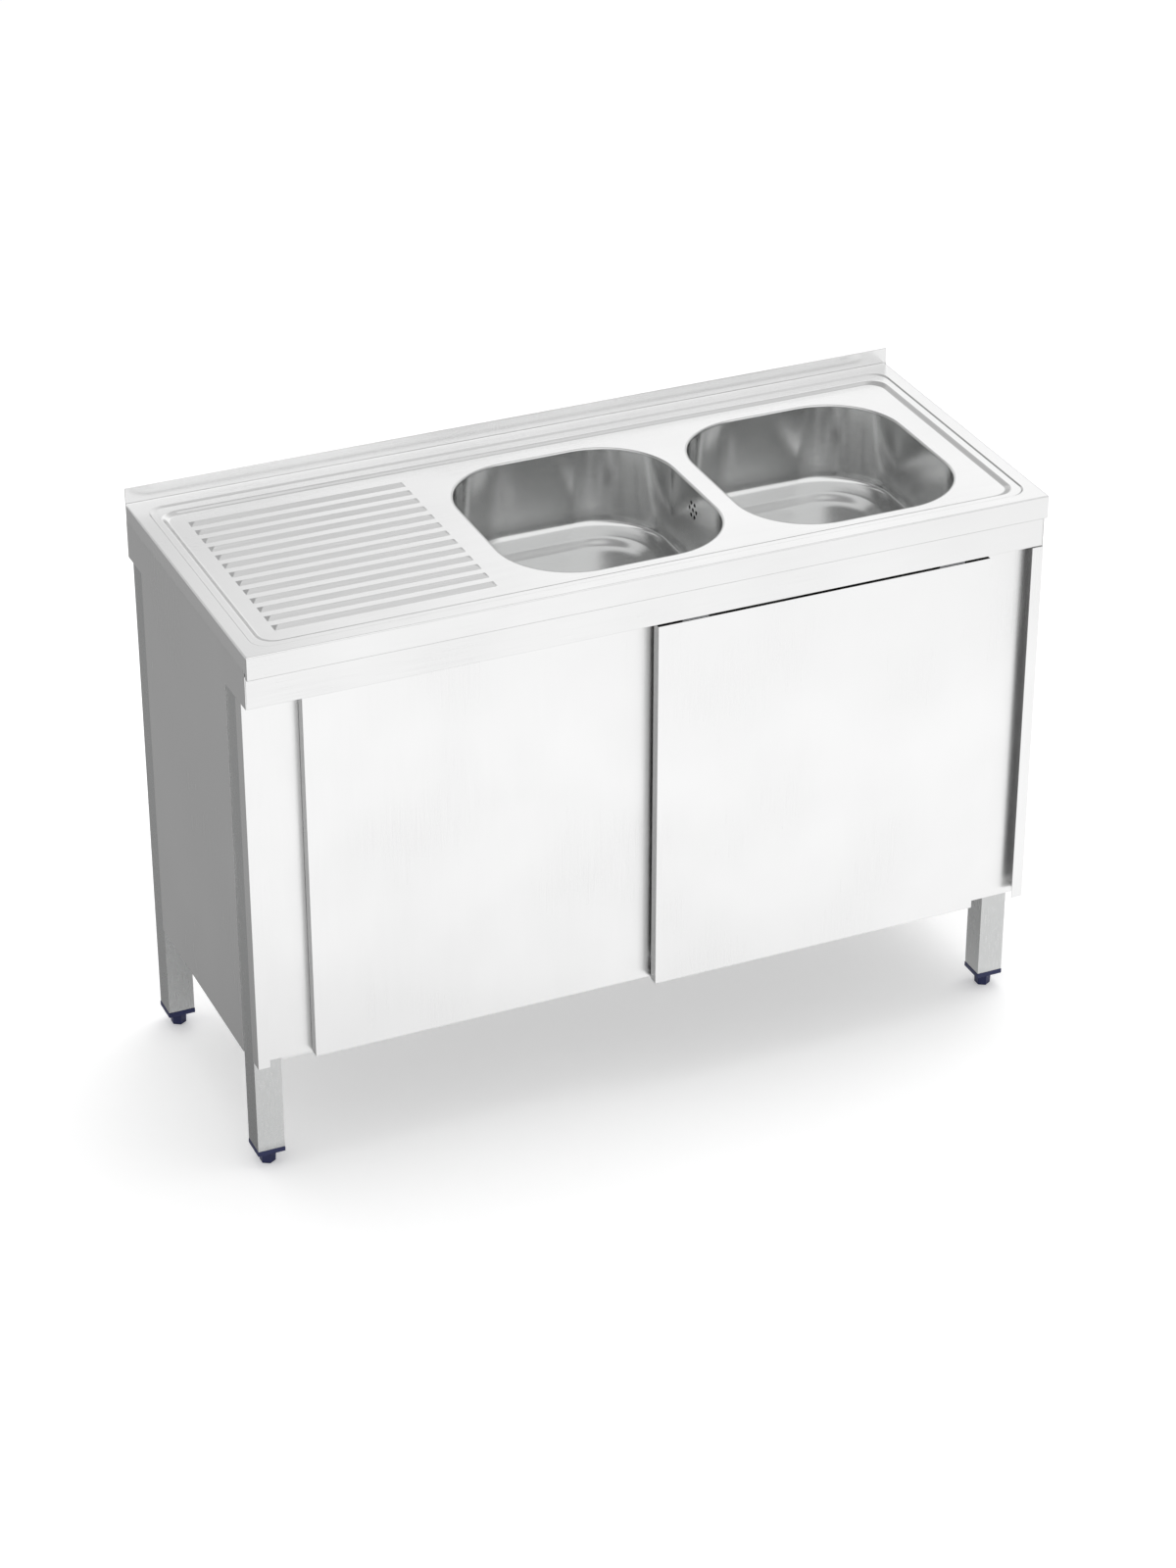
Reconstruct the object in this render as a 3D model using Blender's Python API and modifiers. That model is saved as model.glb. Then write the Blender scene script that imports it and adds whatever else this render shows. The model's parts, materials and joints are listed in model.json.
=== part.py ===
"""Stainless sink unit: a pressed worktop with a drainer and two bowls, on a cabinet with sliding doors.

Metres, +Z up, +X to the right and +Y to the back, as seen from the front.
The origin is on the floor, under the middle of the worktop.
"""

from math import cos, pi, radians, sin

import bmesh
import bpy
from mathutils import Matrix, Vector

# Overall size
WIDTH = 1.200
DEPTH = 0.500
HEIGHT = 0.850
UPSTAND = 0.025
SHEET = 0.001
CLEAR = 0.0003
LOOSE = 0.0006

# Worktop edges: insets are from the worktop's outer edge
FRONT_FLANGE = 0.035
SIDE_FLANGE = 0.025
FLANGE_RETURN = 0.006
UPSTAND_HEM = 0.002
RIDGE_INSET = 0.020
RIDGE_INSET_BACK = 0.028
RIDGE_RUN = 0.0025
RIDGE_DROP = 0.0015
PAN_INSET = 0.0335
PAN_INSET_BACK = 0.043
PAN_RUN = 0.006
PAN_DROP = 0.0035
PAN_CORNER = 0.025

# Drainer ribs: insets are from the worktop's edges and from the left bowl
RIB_COUNT = 13
RIB_WIDTH = 0.016
RIB_HEIGHT = 0.004
RIB_HIP = 0.0073
RIB_INSET_LEFT = 0.065
RIB_INSET_BOWL = 0.042
RIB_INSET_BACK = 0.088
RIB_INSET_FRONT = 0.0748

# Bowls: depths are below the deck
BOWL_LENGTH = 0.360
BOWL_WIDTH = 0.330
BOWL_CORNER = 0.110
BOWL_BRIDGE = 0.035
BOWL_INSET_RIGHT = 0.078
BOWL_INSET_FRONT = 0.057
BOWL_FLANGE = 0.006
BOWL_DEPTH = 0.140
BOWL_BEAD = 0.007
SHOULDER_WIDTH = 0.024
SHOULDER_DROP = 0.005
STEP_WIDTH = 0.022
STEP_DROP = 0.010
FLOOR_FALL = 0.004

# Overflow: the two boxes stand back to back between the bowls
OVERFLOW_DROP = 0.036
OVERFLOW_HOLE = 0.0030
OVERFLOW_RING = 0.0110
OVERFLOW_RING_COUNT = 6
OVERFLOW_BOX = 0.034
OVERFLOW_BOX_SPACE = 0.0034
OVERFLOW_BOX_WALL = 0.0015
PIPE_RADIUS = 0.0060
PIPE_WALL = 0.0015
PIPE_BEND = 0.030

# Waste
WASTE_RECESS = 0.003
WASTE_FLANGE = 0.043
WASTE_FLANGE_THICK = 0.0018
WASTE_RADIUS = 0.024
WASTE_BORE = 0.020
WASTE_LENGTH = 0.075
GASKET_RADIUS = 0.038
GASKET_THICK = 0.003
NUT_RADIUS = 0.036
NUT_THICK = 0.010
SPIGOT_REACH = 0.020
SPIGOT_DROP = 0.020
PLUG_RIM = 0.0235
PLUG_DEPTH = 0.012
PLUG_KNOB = 0.006
PLUG_KNOB_HEIGHT = 0.014

# Legs and feet
LEG = 0.040
LEG_WALL = 0.0015
LEG_BOTTOM = 0.030
LEG_SETBACK_BACK = 0.016
CAP_OVERHANG = 0.0006
CAP_THICK = 0.0075
CAP_PLUG = 0.026
FOOT_RADIUS = 0.0130
FOOT_TAPER = 0.0012
STEM_RADIUS = 0.006
STEM_LENGTH = 0.045

# Cabinet
APRON_DROP = 0.082
FASCIA_SETBACK = 0.009
FASCIA_RETURN = 0.038
PANEL_BOTTOM = 0.178
PANEL_RETURN = 0.015
SHELF_THICK = 0.022
RAIL_DEPTH = 0.055
RAIL_HEIGHT = 0.030
RAIL_WALL = 0.0015

# Doors and jambs: the right door is the front layer, the left door the rear layer
DOOR_RISE = 0.007
DOOR_TOP_GAP = 0.0025
DOOR_SETBACK = 0.007
DOOR_LAYER = 0.022
DOOR_THICK = 0.0155
DOOR_LAP = 0.004
DOOR_END_INSET = 0.0855
DOOR_LIP = 0.004
JAMB_WIDTH = 0.0175
JAMB_RETURN = 0.030
STILE_GAP = 0.001
STILE_LAP = 0.0145
STILE_TO_LEG = 0.0055
SCREW_INSET = 0.066
SCREW_RADIUS = 0.002
SCREW_HEAD = 0.0040
SCREW_HEAD_THICK = 0.0025
SCREW_LENGTH = 0.008

# Hanging gear: distances behind a door's front face
BRACKET_OFFSET = 0.0045
BRACKET_THICK = 0.0015
BRACKET_WIDTH = 0.040
BRACKET_FOOT = 0.010
BRACKET_HEAD = 0.012
HANGER_SPREAD = 0.400
ROLLER_RADIUS = 0.011
ROLLER_WIDTH = 0.0075
ROLLER_GAP = 0.0005
AXLE_RADIUS = 0.003
AXLE_HEAD = 0.005
AXLE_HEAD_THICK = 0.001
TRACK_WALL = 0.0015
TRACK_DROP = 0.0365

# Bottom guide
GUIDE_WIDTH = 0.060
GUIDE_THICK = 0.0015
GUIDE_TAB_DROP = 0.002
GUIDE_GAP = 0.002
GUIDE_PIN = 0.003
GUIDE_PIN_RISE = 0.010
GUIDE_PIN_SHIFT = 0.011

# Facets, and how far a cutter runs past what it cuts
CORNER_STEPS = 8
ROUND_STEPS = 4 * (CORNER_STEPS + 1)
PIN_STEPS = 16
HOLE_STEPS = 10
HEX_STEPS = 6
BEND_STEPS = 6
TUBE_RESOLUTION = 2
SHARP_ANGLE = radians(30)
WELD = 0.00001
PAST = 0.002
FRAME_SIZE = 0.050

# Places that follow from the sizes
RIGHT = WIDTH / 2
LEFT = -RIGHT
BACK = DEPTH / 2
FRONT = -BACK
DECK = HEIGHT - RIDGE_DROP - PAN_DROP
UNDER_DECK = DECK - SHEET - CLEAR
INNER_X = RIGHT - SHEET - CLEAR
APRON_Z = HEIGHT - APRON_DROP
FASCIA_Y = FRONT + FASCIA_SETBACK
DOOR_BOTTOM = PANEL_BOTTOM + DOOR_RISE
DOOR_TOP = APRON_Z - DOOR_TOP_GAP
DOOR_WIDTH = RIGHT - DOOR_END_INSET + DOOR_LAP / 2
DOOR_FRONT_Y = {
    "left": FRONT + DOOR_SETBACK + DOOR_LAYER,
    "right": FRONT + DOOR_SETBACK,
}
DOOR_X = {
    "left": LEFT + DOOR_END_INSET,
    "right": RIGHT - DOOR_END_INSET - DOOR_WIDTH,
}
LEG_X = INNER_X - LEG / 2
LEG_INNER_X = LEG_X - LEG / 2 - CLEAR
LEG_FRONT_FACE = DOOR_FRONT_Y["left"] + DOOR_THICK + STILE_GAP + SHEET + STILE_TO_LEG
LEG_FRONT_Y = LEG_FRONT_FACE + LEG / 2
LEG_REAR_Y = BACK - LEG_SETBACK_BACK - LEG / 2
SHELF_TOP = PANEL_BOTTOM + SHELF_THICK
SHELF_FRONT = LEG_FRONT_FACE - SHEET - CLEAR
SCREW_LEVELS = {"low": DOOR_BOTTOM + SCREW_INSET, "high": APRON_Z - SCREW_INSET}
BOWL_Y = FRONT + BOWL_INSET_FRONT + BOWL_LENGTH / 2
BOWL_RIGHT_X = RIGHT - BOWL_INSET_RIGHT - BOWL_WIDTH / 2
BOWL_LEFT_X = BOWL_RIGHT_X - BOWL_WIDTH - BOWL_BRIDGE
BOWL_X = {"left": BOWL_LEFT_X, "right": BOWL_RIGHT_X}
BOWL_WALL = BOWL_DEPTH - FLOOR_FALL - STEP_DROP - SHOULDER_DROP - BOWL_BEAD
RIB_LEFT = LEFT + RIB_INSET_LEFT
RIB_RIGHT = BOWL_LEFT_X - BOWL_WIDTH / 2 - RIB_INSET_BOWL
RIB_PITCH = (DEPTH - RIB_INSET_BACK - RIB_INSET_FRONT) / (RIB_COUNT - 1)
OVERFLOW_Z = DECK - OVERFLOW_DROP
OVERFLOW_BOX_DEPTH = (BOWL_BRIDGE - OVERFLOW_BOX_SPACE) / 2 - SHEET - CLEAR
RECESS_Z = DECK - BOWL_DEPTH - WASTE_RECESS
WASTE_TOP = RECESS_Z + CLEAR + WASTE_FLANGE_THICK
GASKET_TOP = RECESS_Z - SHEET - CLEAR
NUT_TOP = GASKET_TOP - GASKET_THICK - CLEAR
SPIGOT_Z = NUT_TOP - NUT_THICK - SPIGOT_DROP
TRACK_TOP = UNDER_DECK - SHEET - CLEAR
LIP_TOP = TRACK_TOP - TRACK_DROP
AXLE_Z = LIP_TOP + CLEAR + ROLLER_RADIUS
AXLE_HOLE = AXLE_RADIUS + CLEAR
GUIDE_TOP = DOOR_BOTTOM - GUIDE_GAP
SIDES = {"left": -1, "right": 1}


def clear_scene():
    for old in list(bpy.data.objects):
        bpy.data.objects.remove(old, do_unlink=True)


def add_collection(name):
    collection = bpy.data.collections.new(name)
    bpy.context.scene.collection.children.link(collection)
    return collection


def make_material(name, colour, roughness, metallic):
    material = bpy.data.materials.new(name)
    material.use_nodes = True
    shader = material.node_tree.nodes["Principled BSDF"]
    shader.inputs["Base Color"].default_value = (*colour, 1.0)
    shader.inputs["Roughness"].default_value = roughness
    shader.inputs["Metallic"].default_value = metallic
    return material


clear_scene()
PARTS = add_collection("sink_unit")
CUTTERS = add_collection("cutters")
STEEL = make_material("satin_stainless", (0.85, 0.85, 0.845), 0.30, 1.0)
BOWL_STEEL = make_material("brushed_bowl_steel", (0.83, 0.83, 0.825), 0.22, 1.0)
LEG_STEEL = make_material("leg_steel", (0.60, 0.61, 0.61), 0.45, 1.0)
ZINC = make_material("zinc_plate", (0.55, 0.56, 0.58), 0.40, 1.0)
NAVY = make_material("navy_plastic", (0.012, 0.017, 0.075), 0.45, 0.0)
NYLON = make_material("white_nylon", (0.80, 0.80, 0.77), 0.50, 0.0)
RUBBER = make_material("black_rubber", (0.02, 0.02, 0.02), 0.70, 0.0)
BLACK_PLASTIC = make_material("black_plastic", (0.03, 0.03, 0.032), 0.50, 0.0)


def mesh_from(bm, name):
    """The finished mesh of a bmesh, with its faces pointing out."""
    bmesh.ops.recalc_face_normals(bm, faces=bm.faces)
    mesh = bpy.data.meshes.new(name)
    bm.to_mesh(mesh)
    bm.free()
    return mesh


def add_part(name, mesh, material, origin=(0, 0, 0), parent=None):
    """A named piece whose mesh is given in world coordinates, with its origin moved to a point."""
    point = Vector(origin)
    mesh.transform(Matrix.Translation(-point))
    mesh.materials.append(material)
    mesh.shade_smooth()
    mesh.set_sharp_from_angle(angle=SHARP_ANGLE)
    part = bpy.data.objects.new(name, mesh)
    PARTS.objects.link(part)
    part.location = point
    if parent:
        part.parent = parent
        part.matrix_parent_inverse = Matrix.Translation(-parent.location)
    return part


def add_joint_frame(name, point):
    """An empty on a joint's axis, which carries the pieces that move with the joint."""
    frame = bpy.data.objects.new(name, None)
    PARTS.objects.link(frame)
    frame.location = point
    frame.empty_display_size = FRAME_SIZE
    return frame


def add_cutter(name, mesh):
    cutter = bpy.data.objects.new(name, mesh)
    CUTTERS.objects.link(cutter)
    cutter.hide_render = True
    cutter.display_type = "WIRE"
    return cutter


def combine(part, other, operation="DIFFERENCE"):
    """Cut another object out of a part, or join it to the part."""
    step = part.modifiers.new(other.name, "BOOLEAN")
    step.operation = operation
    step.object = other
    step.solver = "EXACT"


def cut(part, name, mesh):
    combine(part, add_cutter(name, mesh))


def join(part, name, mesh):
    combine(part, add_cutter(name, mesh), "UNION")


def box(name, low, high):
    bm = bmesh.new()
    bmesh.ops.create_cube(bm, size=1.0)
    size = Vector(high) - Vector(low)
    middle = (Vector(high) + Vector(low)) / 2
    place = Matrix.Translation(middle) @ Matrix.Diagonal((*size, 1))
    bmesh.ops.transform(bm, matrix=place, verts=bm.verts)
    return mesh_from(bm, name)


def rod(name, start, end, radius, steps=PIN_STEPS, end_radius=None):
    """A solid round bar, cone or prism between two points."""
    bm = bmesh.new()
    run = Vector(end) - Vector(start)
    turn = run.to_track_quat("Z", "Y").to_matrix().to_4x4()
    place = Matrix.Translation((Vector(start) + Vector(end)) / 2) @ turn
    last = radius if end_radius is None else end_radius
    bmesh.ops.create_cone(
        bm, cap_ends=True, segments=steps, radius1=radius, radius2=last, depth=run.length, matrix=place
    )
    return mesh_from(bm, name)


def rods(name, spans, radius, steps):
    """Several parallel round bars in one cutter mesh."""
    bm = bmesh.new()
    for index, (start, end) in enumerate(spans):
        single = rod(f"{name}_{index}", start, end, radius, steps)
        bm.from_mesh(single)
        bpy.data.meshes.remove(single)
    return mesh_from(bm, name)


def mesh_of_curve(name, curve, place):
    """A curve turned into one welded mesh and set in place."""
    holder = bpy.data.objects.new(name, curve)
    PARTS.objects.link(holder)
    view = bpy.context.evaluated_depsgraph_get()
    raw = bpy.data.meshes.new_from_object(holder.evaluated_get(view))
    bpy.data.objects.remove(holder)
    bm = bmesh.new()
    bm.from_mesh(raw)
    bpy.data.meshes.remove(raw)
    bmesh.ops.remove_doubles(bm, verts=bm.verts, dist=WELD)
    bmesh.ops.transform(bm, matrix=place, verts=bm.verts)
    return mesh_from(bm, name)


def extrude(name, outline, start, end, axis):
    """A flat outline drawn out along X, in (y, z), or along Z, in (x, y)."""
    curve = bpy.data.curves.new(name, "CURVE")
    curve.dimensions = "2D"
    curve.fill_mode = "BOTH"
    curve.extrude = (end - start) / 2
    spline = curve.splines.new("POLY")
    spline.points.add(len(outline) - 1)
    for point, (u, v) in zip(spline.points, outline):
        point.co = (u, v, 0, 1)
    spline.use_cyclic_u = True
    middle = (start + end) / 2
    if axis == "Z":
        return mesh_of_curve(name, curve, Matrix.Translation((0, 0, middle)))
    along_x = Matrix(((0, 0, 1, middle), (1, 0, 0, 0), (0, 1, 0, 0), (0, 0, 0, 1)))
    return mesh_of_curve(name, curve, along_x)


def sheet_outline(path, thickness):
    """The outline of a bent sheet whose middle line is the path, with mitred bends."""
    points = [Vector(p) for p in path]
    sides = [(b - a).normalized() for a, b in zip(points, points[1:])]
    normals = [Vector((-d.y, d.x)) for d in sides]
    shifts = [normals[0]]
    for n, m in zip(normals, normals[1:]):
        shifts.append((n + m) / (1 + n.dot(m)))
    shifts.append(normals[-1])
    half = thickness / 2
    one_side = [p + s * half for p, s in zip(points, shifts)]
    other_side = [p - s * half for p, s in zip(points, shifts)]
    return one_side + other_side[::-1]


def tube(name, points, radius):
    """A round solid along a run of points."""
    curve = bpy.data.curves.new(name, "CURVE")
    curve.dimensions = "3D"
    curve.bevel_depth = radius
    curve.bevel_resolution = TUBE_RESOLUTION
    curve.use_fill_caps = True
    spline = curve.splines.new("POLY")
    spline.points.add(len(points) - 1)
    for point, place in zip(spline.points, points):
        point.co = (*place, 1)
    return mesh_of_curve(name, curve, Matrix.Identity(4))


def turned(name, profile, closed):
    """A mesh with a profile of (radius, height) points, ready for a Screw modifier."""
    bm = bmesh.new()
    corners = [bm.verts.new((r, 0, z)) for r, z in profile]
    for a, b in zip(corners, corners[1:]):
        bm.edges.new((a, b))
    if closed:
        bm.edges.new((corners[-1], corners[0]))
    mesh = bpy.data.meshes.new(name)
    bm.to_mesh(mesh)
    bm.free()
    return mesh


def spin(part):
    screw = part.modifiers.new("turn", "SCREW")
    screw.angle = 2 * pi
    screw.steps = ROUND_STEPS
    screw.render_steps = ROUND_STEPS
    screw.use_merge_vertices = True
    screw.merge_threshold = WELD


def rounded_rectangle(left, right, front, back, radius, z):
    """A level loop of points, anticlockwise from the middle of the right side."""
    centres = (
        (right - radius, back - radius),
        (left + radius, back - radius),
        (left + radius, front + radius),
        (right - radius, front + radius),
    )
    loop = []
    for quarter, (x, y) in enumerate(centres):
        for step in range(CORNER_STEPS + 1):
            angle = (quarter + step / CORNER_STEPS) * pi / 2
            loop.append(Vector((x + radius * cos(angle), y + radius * sin(angle), z)))
    return loop


def circle(x, y, radius, z):
    """A level round loop whose points match those of a rounded rectangle."""
    loop = []
    for step in range(ROUND_STEPS):
        angle = (step + 0.5) * 2 * pi / ROUND_STEPS
        loop.append(Vector((x + radius * cos(angle), y + radius * sin(angle), z)))
    return loop


def loft(name, loops, capped):
    """A surface through level loops with equal numbers of points, closed at both ends if capped."""
    bm = bmesh.new()
    rings = [[bm.verts.new(point) for point in loop] for loop in loops]
    count = len(loops[0])
    for upper, lower in zip(rings, rings[1:]):
        for i in range(count):
            j = (i + 1) % count
            bm.faces.new((upper[i], lower[i], lower[j], upper[j]))
    if capped:
        bm.faces.new(rings[0])
        bm.faces.new(rings[-1][::-1])
    return mesh_from(bm, name)


def pan_recess(name, lower):
    """The space above the sunk deck: a shallow outer step, a ledge and a deeper inner step."""
    top = HEIGHT - lower
    step = top - RIDGE_DROP
    deck = step - PAN_DROP

    def loop(inset, inset_back, z):
        return rounded_rectangle(
            LEFT + inset, RIGHT - inset, FRONT + inset, BACK - inset_back, PAN_CORNER, z
        )

    return loft(
        name,
        [
            loop(RIDGE_INSET, RIDGE_INSET_BACK, HEIGHT + PAST),
            loop(RIDGE_INSET, RIDGE_INSET_BACK, top),
            loop(RIDGE_INSET + RIDGE_RUN, RIDGE_INSET_BACK + RIDGE_RUN, step),
            loop(PAN_INSET, PAN_INSET_BACK, step),
            loop(PAN_INSET + PAN_RUN, PAN_INSET_BACK + PAN_RUN, deck),
        ],
        capped=True,
    )


def drainer_ribs(name, lower):
    """The row of ribs with a ridge and sloped ends, rooted half a sheet below the deck."""
    root = SHEET / 2
    grow = (RIB_HEIGHT + root) / RIB_HEIGHT
    ridge_half = (RIB_RIGHT - RIB_LEFT) / 2 - RIB_HIP
    x = (RIB_LEFT + RIB_RIGHT) / 2
    bm = bmesh.new()
    for index in range(RIB_COUNT):
        y = BACK - RIB_INSET_BACK - index * RIB_PITCH
        corners = bmesh.ops.create_cube(bm, size=2.0)["verts"]
        for corner in corners:
            along, across, up = corner.co
            if up > 0:
                corner.co = (x + along * ridge_half, y, DECK + RIB_HEIGHT - lower)
            else:
                reach = ridge_half + RIB_HIP * grow
                corner.co = (x + along * reach, y + across * RIB_WIDTH / 2 * grow, DECK - root - lower)
    bmesh.ops.remove_doubles(bm, verts=bm.verts, dist=WELD)
    return mesh_from(bm, name)


def sink_opening(side):
    x = BOWL_X[side]
    edges = (x - BOWL_WIDTH / 2, x + BOWL_WIDTH / 2, BOWL_Y - BOWL_LENGTH / 2, BOWL_Y + BOWL_LENGTH / 2)
    loops = [rounded_rectangle(*edges, BOWL_CORNER, z) for z in (HEIGHT, DECK - PAN_DROP)]
    return loft(f"opening_{side}", loops, capped=True)


def build_sink_top():
    """The worktop is a sheet: its upper form less the same form set one sheet lower and further in."""
    bottom = HEIGHT - FRONT_FLANGE
    block = box("sink_top", (LEFT, FRONT, bottom), (RIGHT, BACK, HEIGHT))
    top = add_part("sink_top", block, STEEL)
    cut(top, "pan_above", pan_recess("pan_above", 0))
    join(top, "ribs_above", drainer_ribs("ribs_above", 0))
    core = box(
        "core_below",
        (LEFT + SHEET, FRONT + SHEET, bottom - PAST),
        (RIGHT - SHEET, BACK - SHEET, HEIGHT - SHEET),
    )
    below = add_cutter("core_below", core)
    cut(below, "pan_below", pan_recess("pan_below", SHEET))
    join(below, "ribs_below", drainer_ribs("ribs_below", SHEET))
    combine(top, below)
    flange_end = FRONT + FLANGE_RETURN
    side_low = (LEFT - PAST, flange_end, bottom - PAST)
    side_high = (RIGHT + PAST, BACK + PAST, HEIGHT - SIDE_FLANGE)
    cut(top, "side_trim", box("side_trim", side_low, side_high))
    lip_low = (LEFT + SHEET / 2, FRONT + SHEET / 2, bottom)
    lip_high = (RIGHT - SHEET / 2, flange_end, bottom + SHEET)
    join(top, "flange_return", box("flange_return", lip_low, lip_high))
    for side in SIDES:
        cut(top, f"opening_{side}", sink_opening(side))
    stand_low = (LEFT, BACK - UPSTAND_HEM, HEIGHT - SHEET / 2)
    stand_high = (RIGHT, BACK, HEIGHT + UPSTAND)
    join(top, "upstand", box("upstand", stand_low, stand_high))


def build_bowl(side):
    """A drawn shell from its flange under the deck, down to a floor that falls to the waste hole."""
    x = BOWL_X[side]
    half_x = BOWL_WIDTH / 2
    half_y = BOWL_LENGTH / 2
    shoulder = BOWL_BEAD + SHOULDER_WIDTH
    sections = (
        (-BOWL_FLANGE, DECK - UNDER_DECK),
        (0, DECK - UNDER_DECK),
        (0, BOWL_WALL),
        (BOWL_BEAD, BOWL_WALL + BOWL_BEAD),
        (shoulder, BOWL_DEPTH - FLOOR_FALL - STEP_DROP),
        (shoulder + STEP_WIDTH, BOWL_DEPTH - FLOOR_FALL),
    )
    loops = []
    for inset, depth in sections:
        edges = (x - half_x + inset, x + half_x - inset, BOWL_Y - half_y + inset, BOWL_Y + half_y - inset)
        loops.append(rounded_rectangle(*edges, BOWL_CORNER - inset, DECK - depth))
    recess = WASTE_FLANGE + LOOSE
    loops.append(circle(x, BOWL_Y, recess + WASTE_RECESS, DECK - BOWL_DEPTH))
    loops.append(circle(x, BOWL_Y, recess, RECESS_Z))
    loops.append(circle(x, BOWL_Y, WASTE_RADIUS + CLEAR, RECESS_Z))
    bowl = add_part(f"bowl_{side}", loft(f"bowl_{side}", loops, capped=False), BOWL_STEEL)
    wall = bowl.modifiers.new("wall", "SOLIDIFY")
    wall.thickness = SHEET
    wall.offset = -1
    wall.use_even_offset = True
    out = -SIDES[side]
    wall_x = x + out * half_x
    spots = [(0, 0)]
    for step in range(OVERFLOW_RING_COUNT):
        angle = step * 2 * pi / OVERFLOW_RING_COUNT
        spots.append((OVERFLOW_RING * cos(angle), OVERFLOW_RING * sin(angle)))
    spans = []
    for across, up in spots:
        start = (wall_x - out * PAST, BOWL_Y + across, OVERFLOW_Z + up)
        end = (wall_x + out * (SHEET + PAST), BOWL_Y + across, OVERFLOW_Z + up)
        spans.append((start, end))
    cut(bowl, f"overflow_holes_{side}", rods(f"overflow_holes_{side}", spans, OVERFLOW_HOLE, HOLE_STEPS))


def overflow_box_x(side):
    """The overflow box's near face, middle and far face, outside the bowl's wall."""
    out = -SIDES[side]
    near = BOWL_X[side] + out * (BOWL_WIDTH / 2 + SHEET + CLEAR)
    return near, near + out * OVERFLOW_BOX_DEPTH / 2, near + out * OVERFLOW_BOX_DEPTH


def build_overflow(side):
    """A box over the overflow holes, and the pipe from it round to the waste's spigot."""
    out = -SIDES[side]
    near, middle, far = overflow_box_x(side)
    half = OVERFLOW_BOX / 2
    low = (min(near, far), BOWL_Y - half, OVERFLOW_Z - half)
    high = (max(near, far), BOWL_Y + half, OVERFLOW_Z + half)
    name = f"overflow_box_{side}"
    shell = add_part(name, box(name, low, high), BLACK_PLASTIC)
    inner_half = half - OVERFLOW_BOX_WALL
    inside = sorted((near - out * PAST, far - out * OVERFLOW_BOX_WALL))
    hollow_low = (inside[0], BOWL_Y - inner_half, OVERFLOW_Z - inner_half)
    hollow_high = (inside[1], BOWL_Y + inner_half, OVERFLOW_Z + inner_half)
    cut(shell, f"{name}_hollow", box(f"{name}_hollow", hollow_low, hollow_high))
    bore = PIPE_RADIUS - PIPE_WALL
    box_bottom = OVERFLOW_Z - half
    drain = rod(f"{name}_drain", (middle, BOWL_Y, OVERFLOW_Z), (middle, BOWL_Y, box_bottom - PAST), bore)
    cut(shell, f"{name}_drain", drain)

    spigot_end = BOWL_X[side] + out * (WASTE_RADIUS + SPIGOT_REACH + CLEAR)
    bend = (middle - out * PIPE_BEND, SPIGOT_Z + PIPE_BEND)

    def route(past):
        points = [Vector((middle, BOWL_Y, box_bottom - CLEAR + past))]
        for step in range(BEND_STEPS + 1):
            angle = step / BEND_STEPS * pi / 2
            x = bend[0] + out * PIPE_BEND * cos(angle)
            points.append(Vector((x, BOWL_Y, bend[1] - PIPE_BEND * sin(angle))))
        points.append(Vector((spigot_end - out * past, BOWL_Y, SPIGOT_Z)))
        return points

    name = f"overflow_pipe_{side}"
    pipe = add_part(name, tube(name, route(0), PIPE_RADIUS), BLACK_PLASTIC)
    cut(pipe, f"{name}_bore", tube(f"{name}_bore", route(PAST), bore))


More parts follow.
